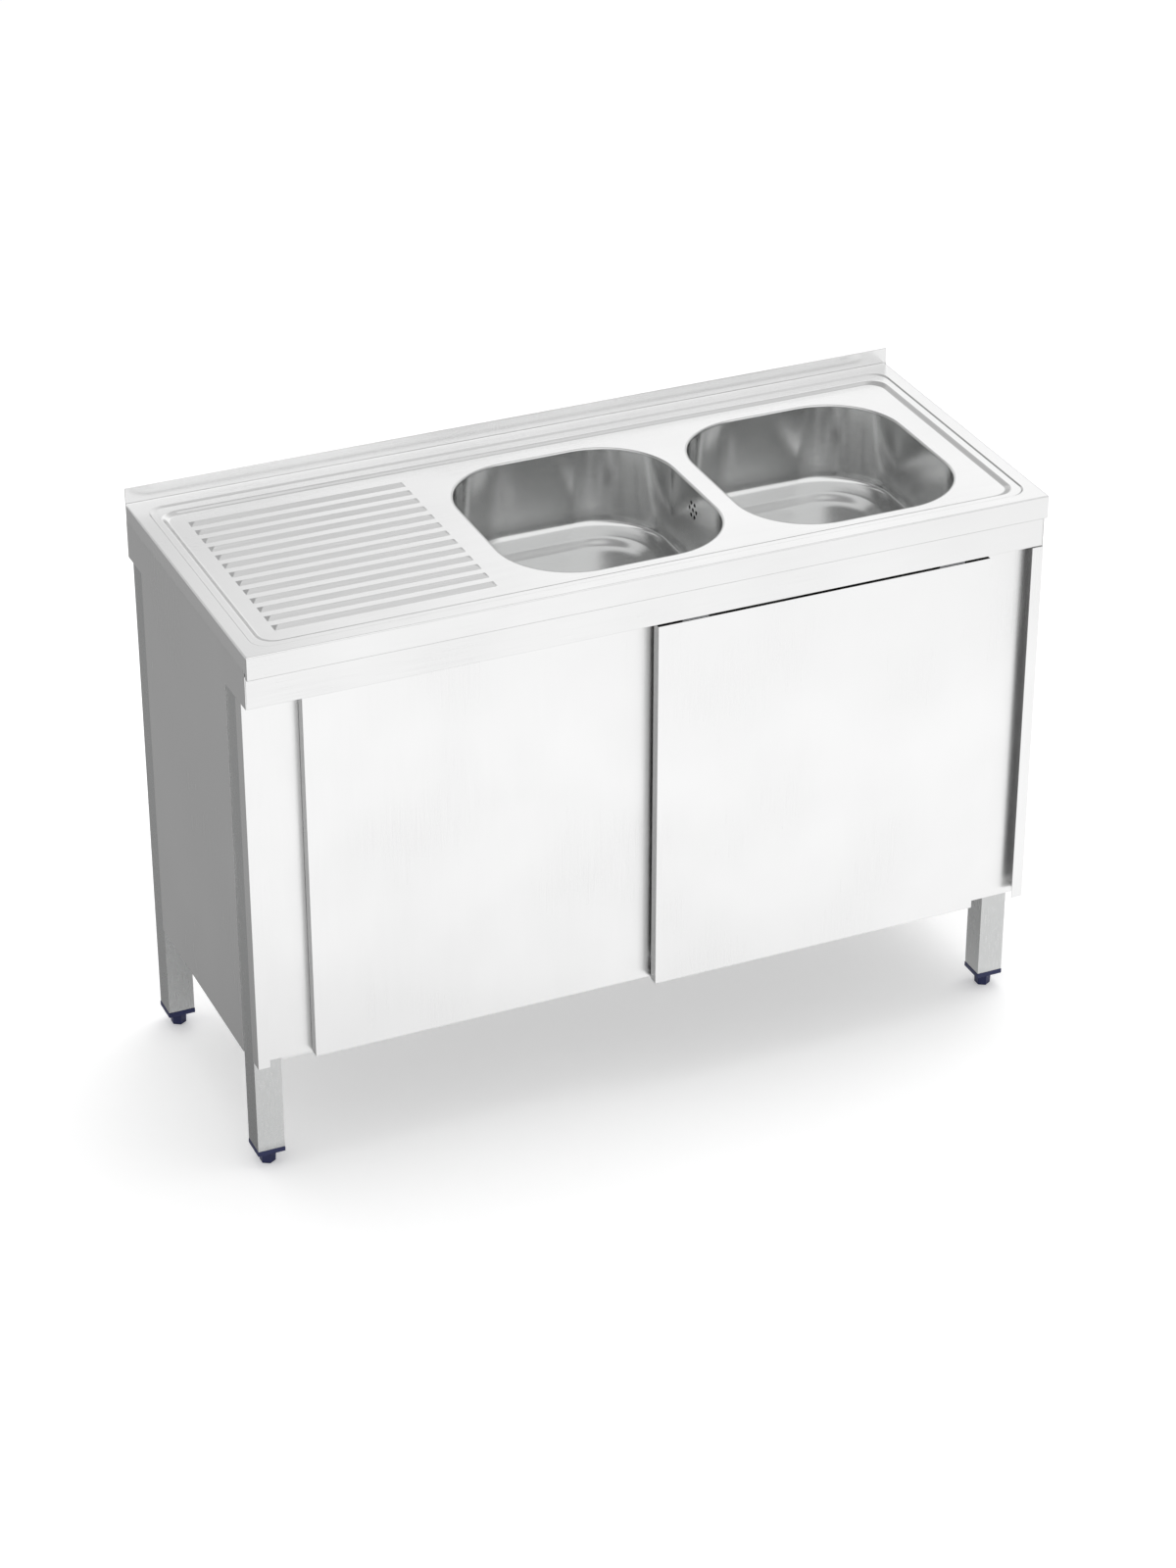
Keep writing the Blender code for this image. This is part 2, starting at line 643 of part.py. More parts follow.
def build_waste(side):
    """The flanged waste through the bowl's floor, with its gasket, nut and lift-out plug."""
    x = BOWL_X[side]
    out = -SIDES[side]
    flange_under = WASTE_TOP - WASTE_FLANGE_THICK
    profile = (
        (WASTE_FLANGE, WASTE_TOP),
        (WASTE_FLANGE, flange_under),
        (WASTE_RADIUS, flange_under),
        (WASTE_RADIUS, WASTE_TOP - WASTE_LENGTH),
        (WASTE_BORE, WASTE_TOP - WASTE_LENGTH),
        (WASTE_BORE, WASTE_TOP),
    )
    name = f"waste_body_{side}"
    body = add_part(name, turned(name, profile, closed=True), STEEL)
    body.location = (x, BOWL_Y, 0)
    spin(body)
    reach = WASTE_RADIUS + SPIGOT_REACH
    root = (x + out * (WASTE_BORE + WASTE_RADIUS) / 2, BOWL_Y, SPIGOT_Z)
    tip = (x + out * reach, BOWL_Y, SPIGOT_Z)
    join(body, f"{name}_spigot", rod(f"{name}_spigot", root, tip, PIPE_RADIUS))
    bore_root = (x, BOWL_Y, SPIGOT_Z)
    bore_tip = (x + out * (reach + PAST), BOWL_Y, SPIGOT_Z)
    cut(body, f"{name}_bore", rod(f"{name}_bore", bore_root, bore_tip, PIPE_RADIUS - PIPE_WALL))

    ring = WASTE_RADIUS + CLEAR
    gasket_profile = (
        (GASKET_RADIUS, GASKET_TOP),
        (GASKET_RADIUS, GASKET_TOP - GASKET_THICK),
        (ring, GASKET_TOP - GASKET_THICK),
        (ring, GASKET_TOP),
    )
    name = f"waste_gasket_{side}"
    gasket = add_part(name, turned(name, gasket_profile, closed=True), RUBBER)
    gasket.location = (x, BOWL_Y, 0)
    spin(gasket)

    name = f"waste_nut_{side}"
    under_nut = NUT_TOP - NUT_THICK
    hexagon = rod(name, (x, BOWL_Y, under_nut), (x, BOWL_Y, NUT_TOP), NUT_RADIUS, HEX_STEPS)
    nut = add_part(name, hexagon, BLACK_PLASTIC)
    thread_low = (x, BOWL_Y, under_nut - PAST)
    thread_high = (x, BOWL_Y, NUT_TOP + PAST)
    cut(nut, f"{name}_thread", rod(f"{name}_thread", thread_low, thread_high, ring, ROUND_STEPS))

    seat = WASTE_TOP + CLEAR
    rim_top = seat + WASTE_FLANGE_THICK
    knob_top = rim_top + PLUG_KNOB_HEIGHT
    stopper = WASTE_BORE - LOOSE
    plug_profile = (
        (0, knob_top),
        (PLUG_KNOB, knob_top),
        (PLUG_KNOB, rim_top),
        (PLUG_RIM, rim_top),
        (PLUG_RIM, seat),
        (stopper, seat),
        (stopper, seat - PLUG_DEPTH),
        (0, seat - PLUG_DEPTH),
    )
    name = f"waste_plug_{side}"
    plug = add_part(name, turned(name, plug_profile, closed=False), RUBBER)
    plug.location = (x, BOWL_Y, 0)
    spin(plug)


def build_leg(row, side):
    """A square tube with its foot cap and screw foot; front legs have the jamb screws' holes."""
    x = SIDES[side] * LEG_X
    y = LEG_FRONT_Y if row == "front" else LEG_REAR_Y
    half = LEG / 2
    inner = half - LEG_WALL
    place = f"{row}_{side}"
    name = f"leg_{place}"
    solid = box(name, (x - half, y - half, LEG_BOTTOM), (x + half, y + half, UNDER_DECK))
    leg = add_part(name, solid, LEG_STEEL)
    hollow_low = (x - inner, y - inner, LEG_BOTTOM - PAST)
    hollow_high = (x + inner, y + inner, UNDER_DECK + PAST)
    cut(leg, f"{name}_hollow", box(f"{name}_hollow", hollow_low, hollow_high))
    if row == "front":
        outside = y - half - PAST
        inside = y - inner + PAST
        spans = [((x, outside, z), (x, inside, z)) for z in SCREW_LEVELS.values()]
        cut(leg, f"{name}_screws", rods(f"{name}_screws", spans, SCREW_RADIUS + CLEAR, HOLE_STEPS))

    cap_top = LEG_BOTTOM - CLEAR
    cap_bottom = cap_top - CAP_THICK
    wide = half + CAP_OVERHANG
    name = f"foot_cap_{place}"
    plate = box(name, (x - wide, y - wide, cap_bottom), (x + wide, y + wide, cap_top))
    cap = add_part(name, plate, NAVY)
    core = inner - CLEAR
    plug_low = (x - core, y - core, cap_bottom + CAP_THICK / 2)
    plug_high = (x + core, y + core, cap_top + CAP_PLUG)
    join(cap, f"{name}_plug", box(f"{name}_plug", plug_low, plug_high))
    bore_low = (x, y, cap_bottom - PAST)
    bore_high = (x, y, cap_top + CAP_PLUG + PAST)
    cut(cap, f"{name}_bore", rod(f"{name}_bore", bore_low, bore_high, STEM_RADIUS + CLEAR))

    foot_top = cap_bottom - CLEAR
    name = f"foot_{place}"
    pad = rod(name, (x, y, 0), (x, y, foot_top), FOOT_RADIUS - FOOT_TAPER, HEX_STEPS, FOOT_RADIUS)
    foot = add_part(name, pad, NAVY, origin=(x, y, 0))
    stem = rod(f"{name}_stem", (x, y, foot_top / 2), (x, y, foot_top + STEM_LENGTH), STEM_RADIUS)
    join(foot, f"{name}_stem", stem)


def build_front_fascia():
    """A rail under the front flange, turned back at its top to carry the deck's front."""
    path = (
        (FASCIA_Y + SHEET / 2, APRON_Z),
        (FASCIA_Y + SHEET / 2, UNDER_DECK - SHEET / 2),
        (FASCIA_Y + FASCIA_RETURN, UNDER_DECK - SHEET / 2),
    )
    mesh = extrude("front_fascia", sheet_outline(path, SHEET), -INNER_X, INNER_X, "X")
    add_part("front_fascia", mesh, STEEL)


def build_rear_rail():
    """A channel between the rear legs, open downwards, under the back of the deck."""
    back = LEG_REAR_Y + LEG / 2 - CLEAR
    front = back - RAIL_DEPTH
    top = UNDER_DECK
    bottom = top - RAIL_HEIGHT
    half = RAIL_WALL / 2
    path = (
        (front + half, bottom),
        (front + half, top - half),
        (back - half, top - half),
        (back - half, bottom),
    )
    mesh = extrude("rear_rail", sheet_outline(path, RAIL_WALL), -LEG_INNER_X, LEG_INNER_X, "X")
    add_part("rear_rail", mesh, ZINC)


def build_back_panel():
    """A sheet between the rear legs with its edges turned forwards."""
    back = LEG_REAR_Y + LEG / 2 - CLEAR
    top = UNDER_DECK - RAIL_HEIGHT - CLEAR
    bottom = SHELF_TOP + CLEAR
    low = (-LEG_INNER_X, back - PANEL_RETURN, bottom)
    panel = add_part("back_panel", box("back_panel", low, (LEG_INNER_X, back, top)), STEEL)
    tray_low = (-LEG_INNER_X + SHEET, back - PANEL_RETURN - PAST, bottom + SHEET)
    tray_high = (LEG_INNER_X - SHEET, back - SHEET, top - SHEET)
    cut(panel, "back_panel_tray", box("back_panel_tray", tray_low, tray_high))


def build_bottom_shelf():
    """A tray turned down at its edges, notched round the four legs."""
    reach = RIGHT - SHEET - PANEL_RETURN - CLEAR
    back = LEG_REAR_Y + LEG / 2 - CLEAR
    low = (-reach, SHELF_FRONT, PANEL_BOTTOM)
    shelf = add_part("bottom_shelf", box("bottom_shelf", low, (reach, back, SHELF_TOP)), STEEL)
    tray_low = (-reach + SHEET, SHELF_FRONT + SHEET, PANEL_BOTTOM - PAST)
    tray_high = (reach - SHEET, back - SHEET, SHELF_TOP - SHEET)
    cut(shelf, "bottom_shelf_tray", box("bottom_shelf_tray", tray_low, tray_high))
    half = LEG / 2 + CLEAR
    for side, sign in SIDES.items():
        for row, y in (("front", LEG_FRONT_Y), ("rear", LEG_REAR_Y)):
            name = f"shelf_notch_{row}_{side}"
            near = sign * LEG_INNER_X
            far = sign * RIGHT
            front = SHELF_FRONT - PAST if row == "front" else y - half
            rear = y + half if row == "front" else back + PAST
            notch_low = (min(near, far), front, PANEL_BOTTOM - PAST)
            notch_high = (max(near, far), rear, SHELF_TOP + PAST)
            cut(shelf, name, box(name, notch_low, notch_high))


def build_side_panel(side):
    """A skirt over the full depth and, between the legs, a panel with its edges turned in."""
    sign = SIDES[side]
    front = LEG_FRONT_Y + LEG / 2 + CLEAR
    back = LEG_REAR_Y - LEG / 2 - CLEAR
    outer = sign * RIGHT
    face = sign * (RIGHT - SHEET)
    turned_in = sign * (RIGHT - SHEET - PANEL_RETURN)
    name = f"side_panel_{side}"
    low = (min(outer, turned_in), front, PANEL_BOTTOM)
    high = (max(outer, turned_in), back, APRON_Z)
    panel = add_part(name, box(name, low, high), STEEL)
    past = turned_in - sign * PAST
    tray_low = (min(face, past), front + SHEET, PANEL_BOTTOM + SHEET)
    tray_high = (max(face, past), back - SHEET, APRON_Z + PAST)
    cut(panel, f"{name}_tray", box(f"{name}_tray", tray_low, tray_high))
    skirt_low = (min(outer, face), FASCIA_Y, APRON_Z - CLEAR / 2)
    skirt_high = (max(outer, face), BACK, HEIGHT - SIDE_FLANGE - CLEAR)
    join(panel, f"{name}_skirt", box(f"{name}_skirt", skirt_low, skirt_high))


def build_jamb(side):
    """A channel, screwed to the leg's front and ending in a narrow lip, with a stile welded inside it."""
    sign = SIDES[side]
    half = SHEET / 2
    lip_y = DOOR_FRONT_Y[side] + half
    stile_y = DOOR_FRONT_Y[side] + DOOR_THICK + STILE_GAP + half
    return_y = LEG_FRONT_FACE - CLEAR - half
    outer = sign * (RIGHT - half)
    path = (
        (sign * (RIGHT - JAMB_RETURN), return_y),
        (outer, return_y),
        (outer, lip_y),
        (sign * (RIGHT - JAMB_WIDTH), lip_y),
    )
    name = f"jamb_{side}"
    jamb_top = APRON_Z - LOOSE
    mesh = extrude(name, sheet_outline(path, SHEET), DOOR_BOTTOM, jamb_top, "Z")
    jamb = add_part(name, mesh, STEEL)
    stile_x = sorted((outer, sign * (RIGHT - DOOR_END_INSET - STILE_LAP)))
    stile_low = (stile_x[0], stile_y - half, DOOR_BOTTOM)
    stile_high = (stile_x[1], stile_y + half, jamb_top)
    join(jamb, f"{name}_stile", box(f"{name}_stile", stile_low, stile_high))
    x = sign * LEG_X
    spans = [((x, return_y - SHEET, z), (x, return_y + SHEET, z)) for z in SCREW_LEVELS.values()]
    cut(jamb, f"{name}_screws", rods(f"{name}_screws", spans, SCREW_RADIUS + CLEAR, HOLE_STEPS))
    under_head = return_y - half - CLEAR
    for level, z in SCREW_LEVELS.items():
        name = f"jamb_screw_{side}_{level}"
        head_end = (x, under_head - SCREW_HEAD_THICK, z)
        head = rod(name, (x, under_head, z), head_end, SCREW_HEAD, HEX_STEPS)
        screw = add_part(name, head, ZINC)
        shank_end = (x, under_head + SCREW_LENGTH, z)
        shank = rod(f"{name}_shank", head_end, shank_end, SCREW_RADIUS, HOLE_STEPS)
        join(screw, f"{name}_shank", shank)


def build_door_track():
    """A comb section: a top plate, and for each door a web with a lip that its rollers run on."""
    lip_bottom = LIP_TOP - TRACK_WALL
    plate_bottom = TRACK_TOP - TRACK_WALL
    lip_start = BRACKET_OFFSET + BRACKET_THICK + ROLLER_GAP
    web_start = lip_start + ROLLER_WIDTH + 2 * ROLLER_GAP + AXLE_HEAD_THICK
    front_lip = DOOR_FRONT_Y["right"] + lip_start
    front_web = DOOR_FRONT_Y["right"] + web_start
    rear_lip = DOOR_FRONT_Y["left"] + lip_start
    rear_web = DOOR_FRONT_Y["left"] + web_start
    outline = (
        (front_lip, TRACK_TOP),
        (rear_web + TRACK_WALL, TRACK_TOP),
        (rear_web + TRACK_WALL, lip_bottom),
        (rear_lip, lip_bottom),
        (rear_lip, LIP_TOP),
        (rear_web, LIP_TOP),
        (rear_web, plate_bottom),
        (front_web + TRACK_WALL, plate_bottom),
        (front_web + TRACK_WALL, lip_bottom),
        (front_lip, lip_bottom),
        (front_lip, LIP_TOP),
        (front_web, LIP_TOP),
        (front_web, plate_bottom),
        (front_lip, plate_bottom),
    )
    mesh = extrude("door_track", outline, -INNER_X, INNER_X, "X")
    add_part("door_track", mesh, ZINC)


def build_hanger(side, end, x, carrier):
    """A bracket on the door's top, with an axle and a roller on its inner side."""
    front = DOOR_FRONT_Y[side]
    half = BRACKET_THICK / 2
    plate_y = front + BRACKET_OFFSET + half
    foot_z = DOOR_TOP + CLEAR + half
    path = (
        (plate_y, AXLE_Z + BRACKET_HEAD),
        (plate_y, foot_z),
        (plate_y + BRACKET_FOOT, foot_z),
    )
    place = f"{side}_{end}"
    name = f"hanger_bracket_{place}"
    outline = sheet_outline(path, BRACKET_THICK)
    mesh = extrude(name, outline, x - BRACKET_WIDTH / 2, x + BRACKET_WIDTH / 2, "X")
    bracket = add_part(name, mesh, ZINC, parent=carrier)
    hole_front = (x, plate_y - BRACKET_THICK, AXLE_Z)
    hole_back = (x, plate_y + BRACKET_THICK, AXLE_Z)
    cut(bracket, f"{name}_hole", rod(f"{name}_hole", hole_front, hole_back, AXLE_HOLE))

    roller_front = plate_y + half + ROLLER_GAP
    roller_back = roller_front + ROLLER_WIDTH
    name = f"hanger_axle_{place}"
    head_front = roller_back + CLEAR
    head_back = head_front + AXLE_HEAD_THICK
    pin = rod(name, (x, plate_y - half, AXLE_Z), (x, head_front + CLEAR, AXLE_Z), AXLE_RADIUS)
    axle = add_part(name, pin, ZINC, parent=carrier)
    head = rod(f"{name}_head", (x, head_front, AXLE_Z), (x, head_back, AXLE_Z), AXLE_HEAD)
    join(axle, f"{name}_head", head)

    name = f"hanger_roller_{place}"
    wheel = rod(name, (x, roller_front, AXLE_Z), (x, roller_back, AXLE_Z), ROLLER_RADIUS, ROUND_STEPS)
    middle = (x, (roller_front + roller_back) / 2, AXLE_Z)
    roller = add_part(name, wheel, NYLON, origin=middle, parent=carrier)
    bore_front = (x, roller_front - PAST, AXLE_Z)
    bore_back = (x, roller_back + PAST, AXLE_Z)
    cut(roller, f"{name}_bore", rod(f"{name}_bore", bore_front, bore_back, AXLE_HOLE))


def build_door(side):
    """A folded front, an inner sheet and two hangers; the bottom is open for the guide's pin."""
    left = DOOR_X[side]
    right = left + DOOR_WIDTH
    front = DOOR_FRONT_Y[side]
    back = front + DOOR_THICK
    carrier = add_joint_frame(f"{side}_door_slide", ((left + right) / 2, (front + back) / 2, DOOR_TOP))
    name = f"door_front_{side}"
    shell = add_part(
        name, box(name, (left, front, DOOR_BOTTOM), (right, back, DOOR_TOP)), STEEL, parent=carrier
    )
    hollow_low = (left + SHEET, front + SHEET, DOOR_BOTTOM + SHEET)
    hollow_high = (right - SHEET, back + PAST, DOOR_TOP - SHEET)
    cut(shell, f"{name}_hollow", box(f"{name}_hollow", hollow_low, hollow_high))
    groove_low = (left + SHEET, front + DOOR_LIP, DOOR_BOTTOM - PAST)
    groove_high = (right - SHEET, back + PAST, DOOR_BOTTOM + 2 * SHEET)
    cut(shell, f"{name}_groove", box(f"{name}_groove", groove_low, groove_high))
    edge = SHEET + CLEAR
    name = f"door_back_{side}"
    cover_low = (left + edge, back - SHEET, DOOR_BOTTOM)
    cover_high = (right - edge, back, DOOR_TOP - edge)
    add_part(name, box(name, cover_low, cover_high), STEEL, parent=carrier)
    for end, sign in SIDES.items():
        build_hanger(side, end, (left + right) / 2 + sign * HANGER_SPREAD / 2, carrier)


def build_door_guide():
    """A bent plate on the shelf's front edge, stepped to end under each door, with a pin into each groove."""
    half = GUIDE_THICK / 2
    tab_y = SHELF_FRONT - CLEAR - half
    plate_z = GUIDE_TOP - half
    groove_middle = (DOOR_LIP + DOOR_THICK - SHEET) / 2
    pin_y = {side: DOOR_FRONT_Y[side] + groove_middle for side in SIDES}
    front = {side: pin_y[side] - GUIDE_PIN - CLEAR for side in SIDES}
    path = (
        (tab_y, SHELF_TOP - GUIDE_TAB_DROP),
        (tab_y, plate_z),
        (front["right"], plate_z),
    )
    mesh = extrude("door_guide", sheet_outline(path, GUIDE_THICK), -GUIDE_WIDTH / 2, GUIDE_WIDTH / 2, "X")
    guide = add_part("door_guide", mesh, ZINC)
    step_low = (-GUIDE_WIDTH / 2 - PAST, front["right"] - PAST, plate_z - PAST)
    step_high = (DOOR_X["left"] + DOOR_WIDTH, front["left"], plate_z + PAST)
    cut(guide, "guide_step", box("guide_step", step_low, step_high))
    for side, sign in SIDES.items():
        x, y = sign * GUIDE_PIN_SHIFT, pin_y[side]
        name = f"guide_pin_{side}"
        join(guide, name, rod(name, (x, y, plate_z), (x, y, GUIDE_TOP + GUIDE_PIN_RISE), GUIDE_PIN))


def main():
    build_sink_top()
    for side in SIDES:
        build_bowl(side)
        build_waste(side)
        build_overflow(side)
        build_side_panel(side)
        build_jamb(side)
        build_door(side)
        for row in ("front", "rear"):
            build_leg(row, side)
    build_front_fascia()
    build_rear_rail()
    build_back_panel()
    build_bottom_shelf()
    build_door_track()
    build_door_guide()


main()
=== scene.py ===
# %% [markdown]
# # A stainless steel sink unit
# The unit is a pressed worktop with a ribbed drainer and two bowls, on a cabinet with two sliding doors.
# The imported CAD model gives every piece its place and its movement. This lesson makes the surfaces that the
# eye sees: soft bends, drawn bowls, satin steel and blue plastic feet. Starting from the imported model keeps
# each new piece where the real one is fastened, so nothing has to be fitted by eye.

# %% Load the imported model
import json
import math

import bmesh
import bpy
from mathutils import Matrix, Vector


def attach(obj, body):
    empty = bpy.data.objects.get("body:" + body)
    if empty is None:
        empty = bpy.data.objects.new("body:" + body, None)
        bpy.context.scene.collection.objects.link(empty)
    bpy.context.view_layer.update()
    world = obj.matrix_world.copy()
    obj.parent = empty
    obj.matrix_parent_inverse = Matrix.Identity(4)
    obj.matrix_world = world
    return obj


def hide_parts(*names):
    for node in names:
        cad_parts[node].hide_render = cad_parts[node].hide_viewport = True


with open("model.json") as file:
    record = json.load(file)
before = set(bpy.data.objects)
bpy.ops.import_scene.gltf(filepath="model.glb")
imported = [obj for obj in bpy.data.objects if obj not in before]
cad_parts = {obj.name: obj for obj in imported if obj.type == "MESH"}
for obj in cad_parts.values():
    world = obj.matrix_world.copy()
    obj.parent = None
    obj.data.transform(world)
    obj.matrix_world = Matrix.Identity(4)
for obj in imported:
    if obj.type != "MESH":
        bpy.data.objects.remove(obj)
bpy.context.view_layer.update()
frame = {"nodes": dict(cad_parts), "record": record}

# %% [markdown]
# ## Camera
# The picture looks down on the unit from its left front, at about thirty degrees, through a long lens.
# A camera could be set by eye, but the straight edges of the cabinet allow a fit: the place and the lens
# below put the worktop's corners and the legs where the photograph has them.

# %% Set the camera
MM = 0.001
scene = bpy.context.scene
scene.view_settings.view_transform = "Standard"

look_azimuth, look_down = math.radians(-23.862), math.radians(30.002)
towards_camera = Vector((
    math.sin(look_azimuth) * math.cos(look_down),
    -math.cos(look_azimuth) * math.cos(look_down),
    math.sin(look_down),
))
lens = bpy.data.cameras.new("long_lens")
lens.lens = 92.774
lens.sensor_width = 36.0
camera = bpy.data.objects.new("camera", lens)
camera.location = (-2.072345, -4.684040, 3.346284)
camera.rotation_euler = (-towards_camera).to_track_quat("-Z", "Y").to_euler()
scene.collection.objects.link(camera)
scene.camera = camera
print("Camera", round(camera.location.length, 2), "m from the middle of the floor")

# %% [markdown]
# ## Helpers for node trees
# Materials and the world are trees of nodes. They could be clicked together in the shader editor. In a
# script, one small function that adds a node, sets its options and links its inputs keeps each tree short
# enough to read as a recipe.

# %% Add one node and link its inputs
def add_node(tree, kind, inputs=None, **options):
    """A new node. An input is either a plain value or the output of another node."""
    made = tree.nodes.new(kind)
    for name, value in options.items():
        setattr(made, name, value)
    for key, value in (inputs or {}).items():
        if isinstance(value, bpy.types.NodeSocket):
            tree.links.new(value, made.inputs[key])
        else:
            made.inputs[key].default_value = value
    return made


print("Node helper ready")

# %% [markdown]
# Light and finish are mostly arithmetic on single numbers: a level that rises over a range, a product, a
# blend of two. Each is one node, so each gets one short function, and a tree then reads like a sum.

# %% Ramps, products and blends
def ramp(tree, value, low, high, first, last, ease="LINEAR"):
    """A number that goes from first to last while the value goes from low to high."""
    return add_node(tree, "ShaderNodeMapRange", {
        "Value": value, "From Min": low, "From Max": high, "To Min": first, "To Max": last,
    }, interpolation_type=ease).outputs["Result"]


def calculate(tree, operation, *values):
    """One Math node, whose inputs are numbered."""
    return add_node(tree, "ShaderNodeMath", dict(enumerate(values)), operation=operation).outputs[0]


def product(tree, first, *others):
    for other in others:
        first = calculate(tree, "MULTIPLY", first, other)
    return first


def blend(tree, factor, first, second):
    """A number that goes from first to second as the factor goes from 0 to 1."""
    inputs = {0: factor, 2: first, 3: second}
    return add_node(tree, "ShaderNodeMix", inputs, data_type="FLOAT").outputs[0]


print("Arithmetic ready")

# %% [markdown]
# ## Studio
# Polished sheet is drawn by what it mirrors. The worktop mirrors a bright backdrop behind the unit, the doors
# mirror a pool of light on the floor in front of them, the bowls' shoulders mirror a soft box above, and the
# left side and the bowls' walls mirror the dim rest of the room. A picture of a studio could give all that.
# Here smooth ramps over the direction of view draw each patch of light, so that a single number moves its
# edge. The direction has a part to the right, a part to the back and a part upward, each from -1 to 1.

# %% Start the world from the direction of view
world = bpy.data.worlds.new("studio")
scene.world = world
world.use_nodes = True
studio = world.node_tree
studio.nodes.clear()
direction = add_node(studio, "ShaderNodeTexCoord").outputs["Generated"]
right, back, up = add_node(studio, "ShaderNodeSeparateXYZ", {0: direction}).outputs


def fade(value, low, high, first, last):
    """A soft edge in the studio: from first to last while the value goes from low to high."""
    return ramp(studio, value, low, high, first, last, "SMOOTHSTEP")


print("World", world.name, "started")

# %% [markdown]
# The backdrop stands behind the unit. The flat worktop and the rim take their tone from it, and they are
# paler on the right, so it has two panels and the second one adds to the first. One even panel would leave
# the sheet without that change of tone. Its foot is dark, which gives the slopes that face away from the
# camera their grey.

# %% The backdrop behind the unit
panels = calculate(
    studio, "ADD",
    fade(right, -0.24, -0.08, 0.0, 0.48),  # the panel that starts left of the middle
    fade(right, 0.20, 0.37, 0.0, 0.60),  # the panel that adds to it on the right
)
foot_part = product(studio, fade(back, 0.0, 0.5, 0.0, 1.0), fade(up, 0.12, 0.50, 1.0, 0.0))
backdrop = product(
    studio,
    panels,
    fade(right, 0.55, 0.80, 1.0, 0.35),  # its far right end
    fade(up, 0.48, 0.76, 1.0, 0.37),  # its top edge
    ramp(studio, foot_part, 0.0, 1.0, 1.0, 0.20),  # its dark foot
)
print("Backdrop hung,", len(studio.nodes), "nodes so far")

# %% [markdown]
# The doors lean neither up nor down, so from above they show the floor in front of the unit. They are nearly
# white across the middle and greyer towards the top and bottom. Paint on the doors could copy that, but it
# would be wrong from any other side. A pool of light on the floor does it better: its near edge is mirrored
# at the doors' foot, and the fall towards its far edge at their top.

# %% The pool of light on the floor in front
pool = product(
    studio,
    fade(right, -0.40, 0.05, 0.0, 1.0),  # its left edge
    fade(right, 0.36, 0.56, 1.0, 0.85),  # a slight fall to the right
    fade(up, -0.62, -0.50, 0.35, 1.32),  # its near edge
    fade(up, -0.50, -0.41, 1.0, 0.58),  # the fall away from the unit
    fade(up, -0.15, 0.05, 1.0, 0.15),  # its far edge
)
in_front = fade(back, -0.25, 0.10, 1.0, 0.0)
print("Pool of light laid,", len(studio.nodes), "nodes so far")

# %% [markdown]
# The soft box hangs above and in front. The bowls' shoulders and steps turn its light to the camera. A real
# one is a plain rectangle. This one has a slanting back edge and a lower edge that rises to the left, and
# both were moved until the bands of light in the bowls fell where the photograph has them.

# %% The soft box above
across_box = calculate(studio, "MULTIPLY_ADD", back, 1.7, right)
above_edge = calculate(studio, "ADD", up, fade(right, -0.60, 0.05, -0.28, 0.14))
softbox = product(
    studio,
    fade(across_box, 0.38, 0.46, 1.0, 0.0),  # its slanting back edge
    fade(back, 0.05, 0.30, 1.0, 0.0),  # nothing of it behind the unit
    fade(above_edge, 0.34, 0.44, 0.0, 1.0),  # its lower edge
    fade(right, -0.88, -0.70, 0.0, 1.0),  # its left end
    fade(right, 0.36, 0.60, 1.0, 0.4),  # a fall to the right
)
print("Soft box hung,", len(studio.nodes), "nodes so far")

# %% [markdown]
# The rest of the room is dim. On the left a low glow remains, which the bowls show by way of two reflections,
# in the wall and in the floor. Close to the unit the paper is in shade, so what is mirrored from there is
# darker still. One level for the whole room would be simpler, but it leaves the bowls flat.

# %% The dim room and the glow on its left
DIM_HIGH, DIM_SIDE, DIM_LOW = 0.25, 0.90, 0.35
side_glow = product(
    studio,
    fade(right, -0.15, 0.15, 1.0, 0.0),  # only on the left
    fade(up, -0.2, 0.1, 0.0, 1.0),  # its lower edge
    fade(up, 0.30, 0.50, 1.0, 0.0),  # its upper edge
)
room = product(
    studio,
    fade(up, -0.1, 0.3, DIM_LOW, DIM_HIGH),
    fade(up, -0.61, -0.53, 0.4, 1.0),  # the shade close to the unit
)
dim_level = blend(studio, side_glow, room, DIM_SIDE)
print("Room from", DIM_HIGH, "to", DIM_SIDE)

# %% [markdown]
# Now the patches are joined. The Light Path node shows them to the steel alone: the camera sees a white page,
# and everything that isn't a mirror gets an even fill. Two worlds can't be used at once, so this node is the
# usual way to have a studio and a white page together.

# %% Join the patches, and keep the page white
BRIGHT, EVEN_FILL, PAGE_WHITE = 1.20, 0.80, 1.0
bright_share = calculate(studio, "MAXIMUM", blend(studio, in_front, backdrop, pool), softbox)
glow = blend(studio, bright_share, dim_level, BRIGHT)
ray = add_node(studio, "ShaderNodeLightPath")
mirrored = blend(studio, ray.outputs["Is Glossy Ray"], EVEN_FILL, glow)
seen = blend(studio, ray.outputs["Is Camera Ray"], mirrored, PAGE_WHITE)
page = blend(studio, ray.outputs["Is Transmission Ray"], seen, PAGE_WHITE)
sky = add_node(studio, "ShaderNodeBackground", {"Color": (1, 1, 1, 1), "Strength": page})
add_node(studio, "ShaderNodeOutputWorld", {"Surface": sky.outputs[0]})
print("Studio up to", BRIGHT, "with", len(studio.nodes), "nodes")

# %% [markdown]
# ## Floor
# The unit stands on white paper, which shows only by the soft shadow on it. A shadow catcher could give that
# shadow, but a plain white floor gives it too and needs no second step. The diffuse paper alone would be a
# pale grey, so a little emission, for the camera only, lifts it to the white of the page. The steel mirrors
# the studio's own pool of light, so the paper is hidden from mirrored rays.

